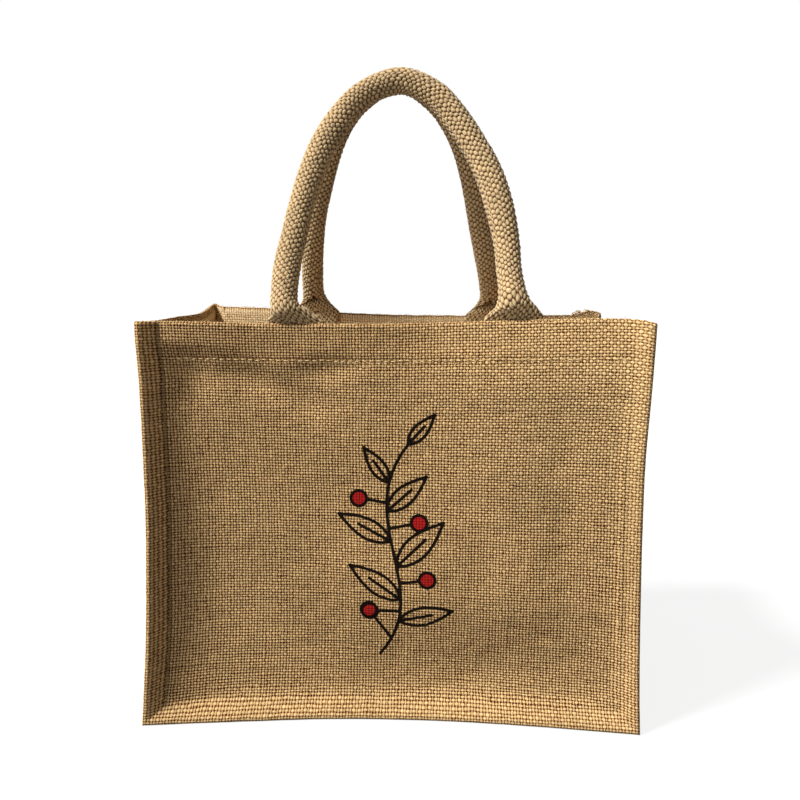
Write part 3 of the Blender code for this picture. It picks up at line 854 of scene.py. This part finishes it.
def sprig():
    """The print's inked lines, and its berries as (middle, radius)."""
    lines = [[stem_at(k / STEM_STEPS)[0] for k in range(STEM_STEPS + 1)]]
    for leaf in LEAVES:
        foot, way = stem_at(leaf["at"])
        ahead = turned(way, leaf["turn"])
        aside = turned(ahead, 90)
        for side in (-1.0, 1.0):
            line = []
            for k in range(LEAF_STEPS + 1):
                t = k / LEAF_STEPS
                bulge = math.sin(math.pi * t**0.8) * LEAF_PLUMP * leaf["long"]
                line.append(foot + ahead * leaf["long"] * t + aside * side * bulge)
            lines.append(line)
        lines.append([foot, foot + ahead * leaf["long"] * LEAF_RIB])
    berries = []
    for berry in BERRIES:
        foot, way = stem_at(berry["at"])
        ahead = turned(way, berry["turn"])
        middle = foot + ahead * berry["long"]
        lines.append([foot, middle - ahead * BERRY])
        berries.append((middle, BERRY))
    return lines, berries


def print_marks(x, height):
    """How far each place is from the inked lines and from the berries, in millimetres."""
    line_width = bpy.context.scene.jute_bag_print.line_width / MM
    places = np.stack([x, height], axis=-1) / MM
    ink = np.full(x.shape, FAR)
    red = np.full(x.shape, FAR)
    lines, berries = sprig()
    for line in lines:
        for a, b in zip(line, line[1:], strict=False):
            way = b - a
            share = np.clip(((places - a) @ way) / (way @ way), 0.0, 1.0)
            away = np.linalg.norm(places - a - share[..., None] * way, axis=-1)
            ink = np.minimum(ink, away - line_width / 2)
    for middle, radius in berries:
        away = np.linalg.norm(places - middle, axis=-1)
        red = np.minimum(red, away - radius)
        ink = np.minimum(ink, np.abs(away - radius) - line_width / 2)
    return {"ink": (np.minimum(ink, FAR), FAR), "berry": (np.minimum(red, FAR), FAR)}


THREAD = 0.0009  # width of a sewing thread
STITCH = 0.0050
STITCH_SHARE = 0.84  # of each stitch's length that shows
THREAD_SIDES = 6
FIBRE = 0.00022
FIBRE_SIDES = 3
STITCH_RINGS = 5
STITCH_OUT = 1.3  # how far the middle of a stitch stands out, in thread widths
STITCH_DIP = 6.0  # and how fast the stitch dips from there
STITCH_SET = 0.6  # share of the pressed line that it lies down in
LEVEL_STRAY = 0.0004
SLANT_STRAY = 0.0005
THREAD_ANGLE = 1.5  # its sine is the thickness of a thread at its middle, for its width
THREAD_ANGLE_END = 0.25  # share of that angle at the thread's ends
UNLIKE_A_THREAD = (0.31, 0.17, 0.94)  # a direction that no thread runs in


def strands(name, lines, width, material):
    """Round threads along lines of as many points each, thinning to both ends."""
    lines = np.array(lines)
    count, rings = lines.shape[:2]
    sides = THREAD_SIDES if width > 2 * FIBRE else FIBRE_SIDES
    ahead = unit(np.gradient(lines, axis=1))
    aside = unit(np.cross(ahead, UNLIKE_A_THREAD))
    third = np.cross(ahead, aside)
    turn = 2 * math.pi * np.arange(sides) / sides
    grown = mix(THREAD_ANGLE_END, 1.0, ease(np.linspace(0, 2, rings)))
    thick = width / 2 * np.sin(grown * THREAD_ANGLE)
    thick = np.minimum(thick, thick[::-1])[:, None, None]
    ring = aside[:, :, None, :] * np.cos(turn)[:, None] + third[:, :, None, :] * np.sin(turn)[:, None]
    points = (lines[:, :, None, :] + thick * ring).reshape(-1, 3)
    first = (np.arange(count)[:, None, None] * rings + np.arange(rings - 1)[None, :, None]) * sides
    k = np.arange(sides)[None, None, :]
    after = (k + 1) % sides
    faces = np.stack([first + k, first + after, first + sides + after, first + sides + k], axis=-1)
    faces = faces.reshape(-1, 4).tolist()
    for i in range(count):
        start = i * rings * sides
        faces.append([start + j for j in range(sides)][::-1])
        faces.append([start + (rings - 1) * sides + j for j in range(sides)])
    mesh = bpy.data.meshes.new(name)
    mesh.from_pydata(points.tolist(), [], faces)
    mesh.materials.append(material)
    mesh.shade_smooth()
    return add_object(name, mesh)


def hem_stitches(panel, seed):
    """The row of stitches that holds a panel's hem, as short lines that dip into the cloth."""
    chance = np.random.default_rng(seed)
    height = HEIGHT - STITCH_LINE
    left, right = side_seam_x(height, -1) + BAND, side_seam_x(height, 1) - BAND
    lines = []
    for k in range(int((right - left) / STITCH)):
        share = np.linspace(-0.5, 0.5, STITCH_RINGS)
        x = left + STITCH * (k + 0.5 + STITCH_SHARE * share)
        level = height + chance.uniform(-LEVEL_STRAY, LEVEL_STRAY)
        level = level + share * chance.uniform(-SLANT_STRAY, SLANT_STRAY)
        dip = THREAD * (STITCH_OUT - STITCH_DIP * share**2)
        y = panel_y(panel, x, level) + panel["out"] * (dip - STITCH_PRESS * STITCH_SET)
        lines.append(stack(x, y, panel_z(panel, x, level)))
    return lines


def loose_threads(panel, kind, seed):
    """Threads that start a little inside a panel's rim, each bent by its kind's curve."""
    chance = np.random.default_rng(seed)
    t = np.linspace(0.0, 1.0, kind["points"])
    lines = []
    for _ in range(kind["count"]):
        drawn = {name: chance.uniform(*span) for name, span in kind["drawn"].items()}
        x = drawn.pop("x")
        y = float(panel_y(panel, x, HEIGHT)) - panel["out"] * drawn.pop("back")
        z = float(panel_z(panel, x, HEIGHT)) - kind["drop"]
        aside, outward, up = kind["curve"](t, **drawn)
        lines.append(stack(x + aside, y + panel["out"] * outward, z + up))
    return lines


def stray(t, long, way, bend, slant):
    """How far a loose fibre goes aside, outwards and up, from its foot to its tip."""
    return long * (way * t + bend * t * t), long * slant * t, long * (0.9 * t - 0.35 * t * t)


def droop(t, long, way):
    """The same for a cut yarn end, which leans outwards."""
    return long * (way * t + 0.3 * t * t), 0.0022 * t * t, long * (0.75 * t - 0.7 * t * t)


def coil(t, long, turn, curl):
    """The same for a yarn of the frayed curl."""
    aside = long * 0.35 * (np.cos(turn + curl * t) - math.cos(turn))
    outward = long * 0.25 * (np.sin(turn + curl * t) - math.sin(turn))
    return aside, outward, long * 0.42 * np.sin(math.pi * t * 0.85)


# The kinds of loose threads. drop is how far below the rim one starts. What is drawn by chance for it,
# in the order written, is where along the rim it starts, how long it is, how far in from the outer face
# it starts (back), and what its curve takes.
RIM_FIBRES = {
    "count": 260, "points": 5, "drop": 0.0007, "curve": stray,
    "drawn": {
        "x": (-0.168, 0.168), "long": (0.0010, 0.0034), "way": (-1.0, 1.0), "bend": (-0.8, 0.8),
        "back": (0.0002, 0.0030), "slant": (-0.7, 0.7),
    },
}
# Where the front hem meets the left seam
CUT_ENDS = {
    "count": 7, "points": 5, "drop": 0.0010, "curve": droop,
    "drawn": {"x": (-0.167, -0.158), "long": (0.003, 0.006), "back": (0.0004, 0.0024), "way": (-0.2, 1.0)},
}
# Near the back right corner
FRAYED = {
    "count": 16, "points": 9, "drop": 0.0012, "curve": coil,
    "drawn": {
        "x": (0.149, 0.161), "long": (0.004, 0.009), "turn": (0.0, 2.0 * math.pi), "curl": (2.2, 4.0),
        "back": (0.0006, 0.0028),
    },
}


class Recipe:
    """Builds one material's nodes, a step at a time."""

    def __init__(self, name):
        self.material = bpy.data.materials.new(name)
        self.material.use_nodes = True
        self.tree = self.material.node_tree
        self.shader = self.tree.nodes["Principled BSDF"]

    def set(self, socket, value):
        if isinstance(value, bpy.types.NodeSocket):
            self.tree.links.new(value, socket)
        else:
            socket.default_value = value

    def node(self, kind, inputs=(), **settings):
        made = self.tree.nodes.new(kind)
        for name, value in settings.items():
            setattr(made, name, value)
        for key, value in dict(inputs).items():
            self.set(made.inputs[key], value)
        return made

    def sum(self, operation, a, b=0.0, c=0.0):
        made = self.node("ShaderNodeMath", {0: a, 1: b, 2: c}, operation=operation)
        return made.outputs[0]

    def add(self, a, b):
        return self.sum("ADD", a, b)

    def times(self, a, b):
        return self.sum("MULTIPLY", a, b)

    def minus(self, a, b):
        return self.sum("SUBTRACT", a, b)

    def shift(self, a, scale, offset):
        return self.sum("MULTIPLY_ADD", a, scale, offset)

    def choose(self, share, a, b):
        """a where share is 0, b where it is 1."""
        return self.sum("MULTIPLY_ADD", share, self.minus(b, a), a)

    def square(self, a):
        return self.sum("POWER", self.sum("ABSOLUTE", a), 2.0)

    def whole(self, a):
        return self.sum("ROUND", a)

    def larger(self, a, b):
        return self.sum("MAXIMUM", a, b)

    def turn(self, a):
        """The cosine of half a turn for each yarn."""
        return self.sum("COSINE", self.times(a, math.pi))

    def between(self, value, low, high, to_low=0.0, to_high=1.0):
        inputs = {"Value": value, "From Min": low, "From Max": high, "To Min": to_low, "To Max": to_high}
        made = self.node("ShaderNodeMapRange", inputs, interpolation_type="SMOOTHSTEP")
        return made.outputs["Result"]

    def blend(self, share, a, b, how="MIX"):
        made = self.node("ShaderNodeMix", {"Factor": share}, data_type="RGBA", blend_type=how)
        self.set(made.inputs[6], a)
        self.set(made.inputs[7], b)
        return made.outputs[2]

    def dimmed(self, colour, light):
        grey = self.node("ShaderNodeCombineXYZ", {0: light, 1: light, 2: light}).outputs[0]
        return self.blend(1.0, colour, grey, "MULTIPLY")

    def shades(self, lit, hollow, crown, redder=1.42):
        """Painted shade and highlight: from the dark hollow colour to the bright crown colour, and redder
        on the way, like light that bounces between close fibres.
        """
        green, blue = self.sum("POWER", lit, redder), self.sum("POWER", lit, redder**1.65)
        share = self.node("ShaderNodeCombineXYZ", {0: lit, 1: green, 2: blue}).outputs[0]
        ends = {0: share, 1: [c - h for c, h in zip(crown, hollow, strict=True)], 2: hollow}
        return self.node("ShaderNodeVectorMath", ends, operation="MULTIPLY_ADD").outputs[0]

    def yarns(self):
        """The cloth's own coordinates, counted in yarns."""
        made = self.node("ShaderNodeUVMap", uv_map="weave")
        parts = self.node("ShaderNodeSeparateXYZ", {0: made.outputs[0]})
        return parts.outputs[0], parts.outputs[1]

    def mark(self, name):
        return self.node("ShaderNodeAttribute", attribute_name=name).outputs["Fac"]

    def noise(self, x, y, scale_x, scale_y, detail=1.0, seed=0.0):
        place = {0: self.times(x, scale_x), 1: self.shift(y, scale_y, seed), 2: seed}
        vector = self.node("ShaderNodeCombineXYZ", place).outputs[0]
        inputs = {"Vector": vector, "Scale": 1.0, "Detail": detail}
        return self.node("ShaderNodeTexNoise", inputs).outputs["Fac"]

    def patches(self, scale):
        """Soft patches in the bag's own space; a larger scale makes them smaller."""
        place = self.node("ShaderNodeTexCoord").outputs["Object"]
        inputs = {"Vector": place, "Scale": scale, "Detail": 2.0}
        return self.node("ShaderNodeTexNoise", inputs).outputs["Fac"]

    def dress(self, inputs):
        for name, value in inputs.items():
            self.set(self.shader.inputs[name], value)

    def finish(self, colour, height, depth, roughness):
        made = self.node("ShaderNodeBump", {"Height": height, "Distance": depth, "Strength": 1.0})
        self.dress({"Base Color": colour, "Roughness": roughness, "Normal": made.outputs["Normal"]})
        self.dress({"Metallic": 0.0, "Specular IOR Level": CLOTH_GLOSS})
        return self.material


WEFT_LEADS_ACROSS = (60.0, 150.0)  # the yarns across a panel over which its weft comes to the fore
WEFT_LEADS_UP = (40.0, 120.0)
HEM_FILM = 0.55  # how far the film on the inside covers a turned-in hem
CLOTH_GLOSS = 0.12


def jute_cloth(name, cloth, smooth=0.0, print_settings=None):
    """Plain weave of single jute yarns; smooth is how far a clear film fills it, from 0 to 1."""
    recipe = Recipe(name)
    add, times, shift, noise = recipe.add, recipe.times, recipe.shift, recipe.noise
    u, v = recipe.yarns()
    wander = cloth.yarn_wander
    across = add(u, shift(noise(u, v, 0.8, 0.25), 2 * wander, -wander))
    up = add(v, shift(noise(u, v, 0.25, 0.8, seed=3.7), 2 * wander, -wander))
    column, row = recipe.whole(across), recipe.whole(up)
    warp_wide = shift(noise(column, up, 0.73, 0.22, seed=8.1), 0.30, 0.21)
    weft_wide = shift(noise(across, row, 0.22, 0.73, seed=5.3), 0.30, 0.28)
    warp_round = recipe.square(recipe.sum("DIVIDE", recipe.minus(across, column), warp_wide))
    weft_round = recipe.square(recipe.sum("DIVIDE", recipe.minus(up, row), weft_wide))
    warp_over = times(recipe.turn(column), recipe.turn(up))
    weft_over = times(recipe.turn(row), recipe.turn(across))
    led = times(recipe.between(u, *WEFT_LEADS_ACROSS), recipe.between(v, *WEFT_LEADS_UP))
    warp_high = add(times(warp_over, 0.35), shift(warp_round, -0.5, 0.5))
    weft_high = add(times(weft_over, -0.35), shift(weft_round, -0.5, shift(led, 0.16, 0.5)))
    high = recipe.larger(recipe.larger(warp_high, weft_high), -0.35)
    warp_top = recipe.sum("GREATER_THAN", warp_high, weft_high)
    fibre_up = noise(across, up, 15.0, 1.7, 2.0, seed=1.9)
    fibre_along = noise(across, up, 1.7, 15.0, 2.0, seed=6.4)
    fibre = recipe.choose(warp_top, fibre_along, fibre_up)
    tint_up = noise(column, up, 0.73, 0.05, seed=2.2)
    tint_along = noise(across, row, 0.05, 0.73, seed=9.6)
    tint = recipe.choose(warp_top, tint_along, tint_up)
    hem, band = recipe.mark("hem"), recipe.mark("band")
    # Painted shade and highlight: by the weave's height, the colour runs from the dark hollow in the holes
    # to the crown on the yarns' tops. The holes are painted lighter in the seam bands, where a second
    # layer lies behind.
    low = shift(led, 0.06, shift(band, -0.06, shift(hem, -0.02, 0.11 - 0.5 * smooth)))
    top = shift(led, 0.02, shift(hem, 0.04, 0.80 - 0.2 * smooth))
    lit = recipe.between(high, low, top, times(band, 0.07))
    crossing = noise(column, row, 0.91, 0.87, 0.0, seed=4.9)
    light = shift(fibre, 0.30, 0.85)
    for share in (
        shift(tint, 0.4, 0.80),  # from yarn to yarn
        shift(crossing, 0.4, 0.80),  # from crossing to crossing
        shift(warp_top, -0.16, 1.08),  # darker on the warp
        shift(times(warp_top, led), -0.20, shift(led, 0.05, 1.0)),  # and more so where the weft leads
        shift(recipe.patches(16.0), 0.30, 0.85),
        # painted shade in the crease on the left
        shift(recipe.mark("shaded_crease"), -0.50, 1.0),
    ):
        light = times(light, share)
    # Towards the inner side's pale colour, which is partly the film's own colour and partly painted light
    crown = [mix(channel, paler, smooth) for channel, paler in zip(cloth.crown, cloth.inside, strict=True)]
    hollow = [channel * (1.0 + 2.0 * smooth) for channel in cloth.hollow]
    colour = recipe.dimmed(recipe.shades(lit, hollow, crown), light)
    if print_settings is not None:
        ragged = shift(fibre, 0.7, -0.35)
        ink = recipe.between(add(recipe.mark("ink"), ragged), -0.22, 0.22, 1.0, 0.0)
        berry = recipe.between(add(recipe.mark("berry"), ragged), -0.22, 0.22, 1.0, 0.0)
        colour = recipe.blend(berry, colour, (*print_settings.berry, 1.0))
        colour = recipe.blend(times(ink, 0.99), colour, (*print_settings.ink, 1.0))
        recipe.dress({"Specular IOR Level": shift(ink, -0.11, CLOTH_GLOSS)})
    height = add(high, shift(fibre, 0.22, 0.0))
    roughness = shift(lit, -0.14, 0.92)
    if smooth > 0.0:
        roughness = shift(fibre, 0.1, 0.45)
    return recipe.finish(colour, height, cloth.weave_bump * (1.0 - 0.7 * smooth), roughness)


def webbing_cloth(name, webbing):
    """Plump knuckles of folded jute webbing, with a smooth selvage, and painted shade in the gaps between
    the knuckles.
    """
    recipe = Recipe(name)
    add, times, shift, noise = recipe.add, recipe.times, recipe.shift, recipe.noise
    u, v = recipe.yarns()
    across = add(u, shift(noise(u, v, 0.9, 0.5), 0.24, -0.12))
    up = add(v, shift(noise(u, v, 0.5, 0.9, seed=4.4), 0.24, -0.12))
    column, row = recipe.whole(across), recipe.whole(up)
    beside = add(column, recipe.sum("SIGN", recipe.minus(across, column)))
    plump = 0.0
    for place in (column, beside):
        level = shift(recipe.sum("FLOORED_MODULO", place, 2.0), 0.5, up)
        level = recipe.square(times(recipe.minus(level, recipe.whole(level)), 1.0 / KNUCKLE_LONG))
        wide = recipe.square(times(recipe.minus(across, place), 1.0 / KNUCKLE_WIDE))
        plump = recipe.larger(shift(add(wide, level), -1.0, 1.0), plump)
    plump = recipe.sum("SQRT", plump)
    chain = shift(recipe.sum("COSINE", times(v, 2.0 * math.pi)), 0.30, 0.68)
    high = recipe.choose(recipe.mark("selvage"), plump, chain)
    fibre = noise(across, up, 11.0, 2.6, 3.0, seed=1.1)
    tint = noise(column, row, 0.83, 0.71, 0.0, seed=7.7)
    light = times(shift(fibre, 0.8, 0.60), shift(tint, 0.5, 0.75))
    light = times(light, shift(recipe.patches(30.0), 0.24, 0.88))
    # Painted shade: dark in the gaps between the knuckles, full colour on their tops
    colour = recipe.shades(recipe.between(high, 0.22, 0.95), webbing.gap, webbing.crown, 1.4)
    colour = recipe.dimmed(colour, light)
    height = add(high, shift(fibre, 0.40, 0.0))
    recipe.dress({"Sheen Weight": 0.15, "Sheen Roughness": 0.6})
    return recipe.finish(colour, height, webbing.knuckle_bump, shift(high, -0.15, 0.95))


def thread_fibre(name, cloth):
    """Twisted jute thread."""
    recipe = Recipe(name)
    ply = recipe.patches(900.0)
    colour = recipe.shades(recipe.between(ply, 0.25, 0.70, 0.80, 1.10), cloth.hollow, cloth.crown)
    recipe.dress({"Sheen Weight": 0.3})
    return recipe.finish(colour, ply, 0.0002, recipe.shift(ply, -0.2, 0.95))


def floor_paint(name, colour, glow):
    """A matt pale floor that stays pale in the bag's own shadow."""
    recipe = Recipe(name)
    recipe.dress({"Base Color": (*colour, 1.0), "Roughness": 0.9})
    recipe.dress({"Emission Color": (1.0, 1.0, 1.0, 1.0), "Emission Strength": glow})
    return recipe.material


def colour_setting(name, about, default):
    return bpy.props.FloatVectorProperty(
        name=name, description=about, subtype="COLOR", size=3, min=0.0, max=1.0, default=default
    )


def length_setting(name, about, default):
    return bpy.props.FloatProperty(name=name, description=about, unit="LENGTH", default=default)


def angle_setting(name, about, default):
    return bpy.props.FloatProperty(name=name, description=about, subtype="ANGLE", default=default)


def number_setting(name, about, default):
    return bpy.props.FloatProperty(name=name, description=about, default=default)


class JuteBagCloth(bpy.types.PropertyGroup):
    """The woven panels and gusset."""

    crown: colour_setting("Crown", "Colour of a yarn where it comes up", (0.655, 0.468, 0.222))
    # Painted shade: the nearly black colour painted into the holes between yarns
    hollow: colour_setting("Hollow", "Colour of the holes between yarns", (0.028, 0.009, 0.003))
    # Partly the film's paler colour and partly painted light: raised almost to white to brighten the
    # inside, where little light reaches
    inside: colour_setting("Inside", "Colour of the cloth's inner side", (0.97, 0.79, 0.49))
    crown_height: length_setting("Crown height", "How far a crown stands out", 0.00030)
    hole_depth: length_setting("Hole depth", "How far a hole lies back", 0.00055)
    yarn_wander: number_setting("Yarn wander", "How far the drawn yarns stray, in yarns", 0.34)
    weave_bump: length_setting("Weave bump", "Height of the drawn weave", 0.00042)


class JuteBagWebbing(bpy.types.PropertyGroup):
    """The handles' webbing."""

    crown: colour_setting("Knuckle", "Colour of a knuckle", (0.600, 0.450, 0.235))
    # Painted shade: the dark colour painted into the gaps between the knuckles
    gap: colour_setting("Gap", "Colour between the knuckles", (0.075, 0.038, 0.015))
    knuckle_height: length_setting("Knuckle height", "How plump the knuckles are", 0.0014)
    knuckle_bump: length_setting("Knuckle bump", "Height of the drawn knuckles", 0.0006)


class JuteBagPrint(bpy.types.PropertyGroup):
    """The printed sprig."""

    ink: colour_setting("Ink", "Colour of the lines", (0.007, 0.005, 0.004))
    berry: colour_setting("Berry", "Colour of the berries", (0.33, 0.007, 0.005))
    line_width: length_setting("Line width", "Width of a printed line", 0.0023)


class JuteBagStage(bpy.types.PropertyGroup):
    """The floor and the lights."""

    floor: colour_setting("Floor", "Colour of the floor", (0.16, 0.16, 0.16))
    key_strength: number_setting("Key strength", "Strength of the light from the upper left", 5.2)
    key_angle: angle_setting("Key softness", "Angle that the key light spreads over", math.radians(12.0))
    card_strength: number_setting("Card strength", "Strength of the low light from the left front", 1.15)
    fill: colour_setting("Fill", "Colour of the light from all round", (1.0, 0.96, 0.93))
    fill_strength: number_setting("Fill strength", "Strength of the light from all round", 0.22)


KEY_FROM = (-0.58, -0.27, 0.77)
CARD_FROM = (-0.69, -0.72, 0.06)
CARD_SPREAD = math.radians(60.0)
FLOOR_SIZE = 12.0
FLOOR_DROP = 0.0006
FLOOR_GLOW = 0.86
BACKDROP = 1.0  # brightness of the white behind the bag, as the camera sees it
LENS = 30.6
SENSOR = 36.0
CAMERA_AT = (0.0340, -0.5347, 0.3088)
CAMERA_TILT = 6.6  # degrees below level
CAMERA_TURN = 3.35
CAMERA_SHIFT = (-0.001, -0.044)


def settle(piece, node):
    """Makes a piece ride with the bag and stand in for its plain solid, which it hides."""
    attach(piece, "root")
    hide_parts(node)


def sun(name, strength, spread, stands):
    """A light from the direction of the place where it stands."""
    light = add_object(name, bpy.data.lights.new(name, "SUN"))
    light.data.energy = strength
    light.data.angle = spread
    light.rotation_euler = Vector(stands).to_track_quat("Z", "Y").to_euler()


def soft_room(fill, strength):
    """An even light from all round, which the camera sees as a white backdrop."""
    world = bpy.data.worlds.new("soft_room")
    world.use_nodes = True
    tree = world.node_tree
    seen = tree.nodes.new("ShaderNodeBackground")
    seen.inputs["Color"].default_value = (BACKDROP, BACKDROP, BACKDROP, 1.0)
    light = tree.nodes["Background"]
    light.inputs["Color"].default_value = (*fill, 1.0)
    light.inputs["Strength"].default_value = strength
    path = tree.nodes.new("ShaderNodeLightPath")
    both = tree.nodes.new("ShaderNodeMixShader")
    tree.links.new(path.outputs["Is Camera Ray"], both.inputs[0])
    tree.links.new(light.outputs[0], both.inputs[1])
    tree.links.new(seen.outputs[0], both.inputs[2])
    tree.links.new(both.outputs[0], tree.nodes["World Output"].inputs["Surface"])
    return world


class JUTE_OT_panels(bpy.types.Operator):
    """Weave the front and back panels, with the print on the front one"""

    bl_idname = "jute_bag.panels"
    bl_label = "Weave Panels"

    def execute(self, context):
        cloth = context.scene.jute_bag_cloth
        lining = jute_cloth("lining", cloth, smooth=1.0)
        turned_in = jute_cloth("turned_in_hem", cloth, smooth=HEM_FILM)
        printed = jute_cloth("printed_jute", cloth, print_settings=context.scene.jute_bag_print)
        plain = jute_cloth("panel_jute", cloth)
        front = make_panel("front_panel_cloth", FRONT, 11, [printed, lining, turned_in], print_marks)
        back = make_panel("back_panel_cloth", BACK, 41, [plain, lining, turned_in])
        settle(front, "front_panel")
        settle(back, "back_panel")
        return {"FINISHED"}


class JUTE_OT_gusset(bpy.types.Operator):
    """Weave the strip that makes the sides and the base"""

    bl_idname = "jute_bag.gusset"
    bl_label = "Weave Gusset"

    def execute(self, context):
        cloth = context.scene.jute_bag_cloth
        plain, lining = jute_cloth("gusset_jute", cloth), jute_cloth("gusset_lining", cloth, smooth=1.0)
        turned_in = jute_cloth("gusset_turned_in_hem", cloth, smooth=HEM_FILM)
        gusset = make_gusset([plain, lining, turned_in])
        settle(gusset, "gusset")
        return {"FINISHED"}


class JUTE_OT_handles(bpy.types.Operator):
    """Wrap the webbing of both handles"""

    bl_idname = "jute_bag.handles"
    bl_label = "Wrap Handles"

    def execute(self, context):
        webbing = webbing_cloth("webbing", context.scene.jute_bag_webbing)
        front = make_handle("handle_front_webbing", FRONT, FRONT_HANDLE, -90.0, 30.0, [webbing])
        back = make_handle("handle_back_webbing", BACK, BACK_HANDLE, 90.0, 10.0, [webbing])
        settle(front, "handle_front")
        settle(back, "handle_back")
        return {"FINISHED"}


class JUTE_OT_threads(bpy.types.Operator):
    """Sew the hems and let loose fibres and cut yarns stand out of the rims"""

    bl_idname = "jute_bag.threads"
    bl_label = "Sew Hems"

    def execute(self, context):
        thread = thread_fibre("jute_thread", context.scene.jute_bag_cloth)
        for name, lines, width in (
            ("front_hem_stitches", hem_stitches(FRONT, 5), THREAD),
            ("front_rim_fibres", loose_threads(FRONT, RIM_FIBRES, 15), FIBRE),
            ("back_hem_stitches", hem_stitches(BACK, 6), THREAD),
            ("back_rim_fibres", loose_threads(BACK, RIM_FIBRES, 16), FIBRE),
            ("cut_yarn_ends", loose_threads(FRONT, CUT_ENDS, 21), THREAD * 0.7),
            ("frayed_yarns", loose_threads(BACK, FRAYED, 22), THREAD * 0.9),
        ):
            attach(strands(name, lines, width, thread), "root")
        return {"FINISHED"}


class JUTE_OT_stage(bpy.types.Operator):
    """Set the pale floor, the soft light and the camera"""

    bl_idname = "jute_bag.stage"
    bl_label = "Set Stage"

    def execute(self, context):
        scene = context.scene
        stage = scene.jute_bag_stage
        camera = add_object("camera", bpy.data.cameras.new("camera"))
        camera.data.sensor_width = SENSOR
        camera.data.lens = LENS
        camera.data.shift_x, camera.data.shift_y = CAMERA_SHIFT
        camera.location = CAMERA_AT
        camera.rotation_euler = (math.radians(90.0 - CAMERA_TILT), 0.0, math.radians(CAMERA_TURN))
        scene.camera = camera
        half = FLOOR_SIZE / 2
        corners = [(-half, -half, 0), (half, -half, 0), (half, half, 0), (-half, half, 0)]
        shape = bpy.data.meshes.new("floor")
        shape.from_pydata(corners, [], [(0, 1, 2, 3)])
        shape.materials.append(floor_paint("floor_paint", stage.floor, FLOOR_GLOW))
        floor = add_object("floor", shape)
        floor.location.z = -FLOOR_DROP
        floor.visible_diffuse = False
        floor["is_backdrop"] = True
        sun("key", stage.key_strength, stage.key_angle, KEY_FROM)
        sun("card", stage.card_strength, CARD_SPREAD, CARD_FROM)
        scene.world = soft_room(stage.fill, stage.fill_strength)
        scene.view_settings.view_transform = "Standard"
        return {"FINISHED"}


OPERATORS = (JUTE_OT_panels, JUTE_OT_gusset, JUTE_OT_handles, JUTE_OT_threads, JUTE_OT_stage)
GROUPS = {
    "jute_bag_cloth": JuteBagCloth,
    "jute_bag_webbing": JuteBagWebbing,
    "jute_bag_print": JuteBagPrint,
    "jute_bag_stage": JuteBagStage,
}


class JUTE_PT_bag(bpy.types.Panel):
    """The bag's settings and steps, in the sidebar"""

    bl_idname = "JUTE_PT_bag"
    bl_label = "Jute Bag"
    bl_space_type = "VIEW_3D"
    bl_region_type = "UI"
    bl_category = "Jute Bag"

    def draw(self, context):
        for name, group in GROUPS.items():
            box = self.layout.box()
            box.label(text=group.__doc__)
            for setting in group.__annotations__:
                box.prop(getattr(context.scene, name), setting)
        for operator in OPERATORS:
            self.layout.operator(operator.bl_idname)


def register():
    for group in GROUPS.values():
        bpy.utils.register_class(group)
    for name, group in GROUPS.items():
        setattr(bpy.types.Scene, name, bpy.props.PointerProperty(type=group))
    for each in (*OPERATORS, JUTE_PT_bag):
        bpy.utils.register_class(each)


def unregister():
    for each in reversed((*OPERATORS, JUTE_PT_bag)):
        bpy.utils.unregister_class(each)
    for name in GROUPS:
        delattr(bpy.types.Scene, name)
    for group in reversed(GROUPS.values()):
        bpy.utils.unregister_class(group)


def plain(box):
    return [[float(value) for value in corner] for corner in box]


def main():
    register()
    bpy.ops.jute_bag.panels()
    bpy.ops.jute_bag.gusset()
    bpy.ops.jute_bag.handles()
    bpy.ops.jute_bag.threads()
    bpy.ops.jute_bag.stage()
    {"cad": plain(CAD_BOX), "visual": plain(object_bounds())}


if __name__ == "__main__":
    main()
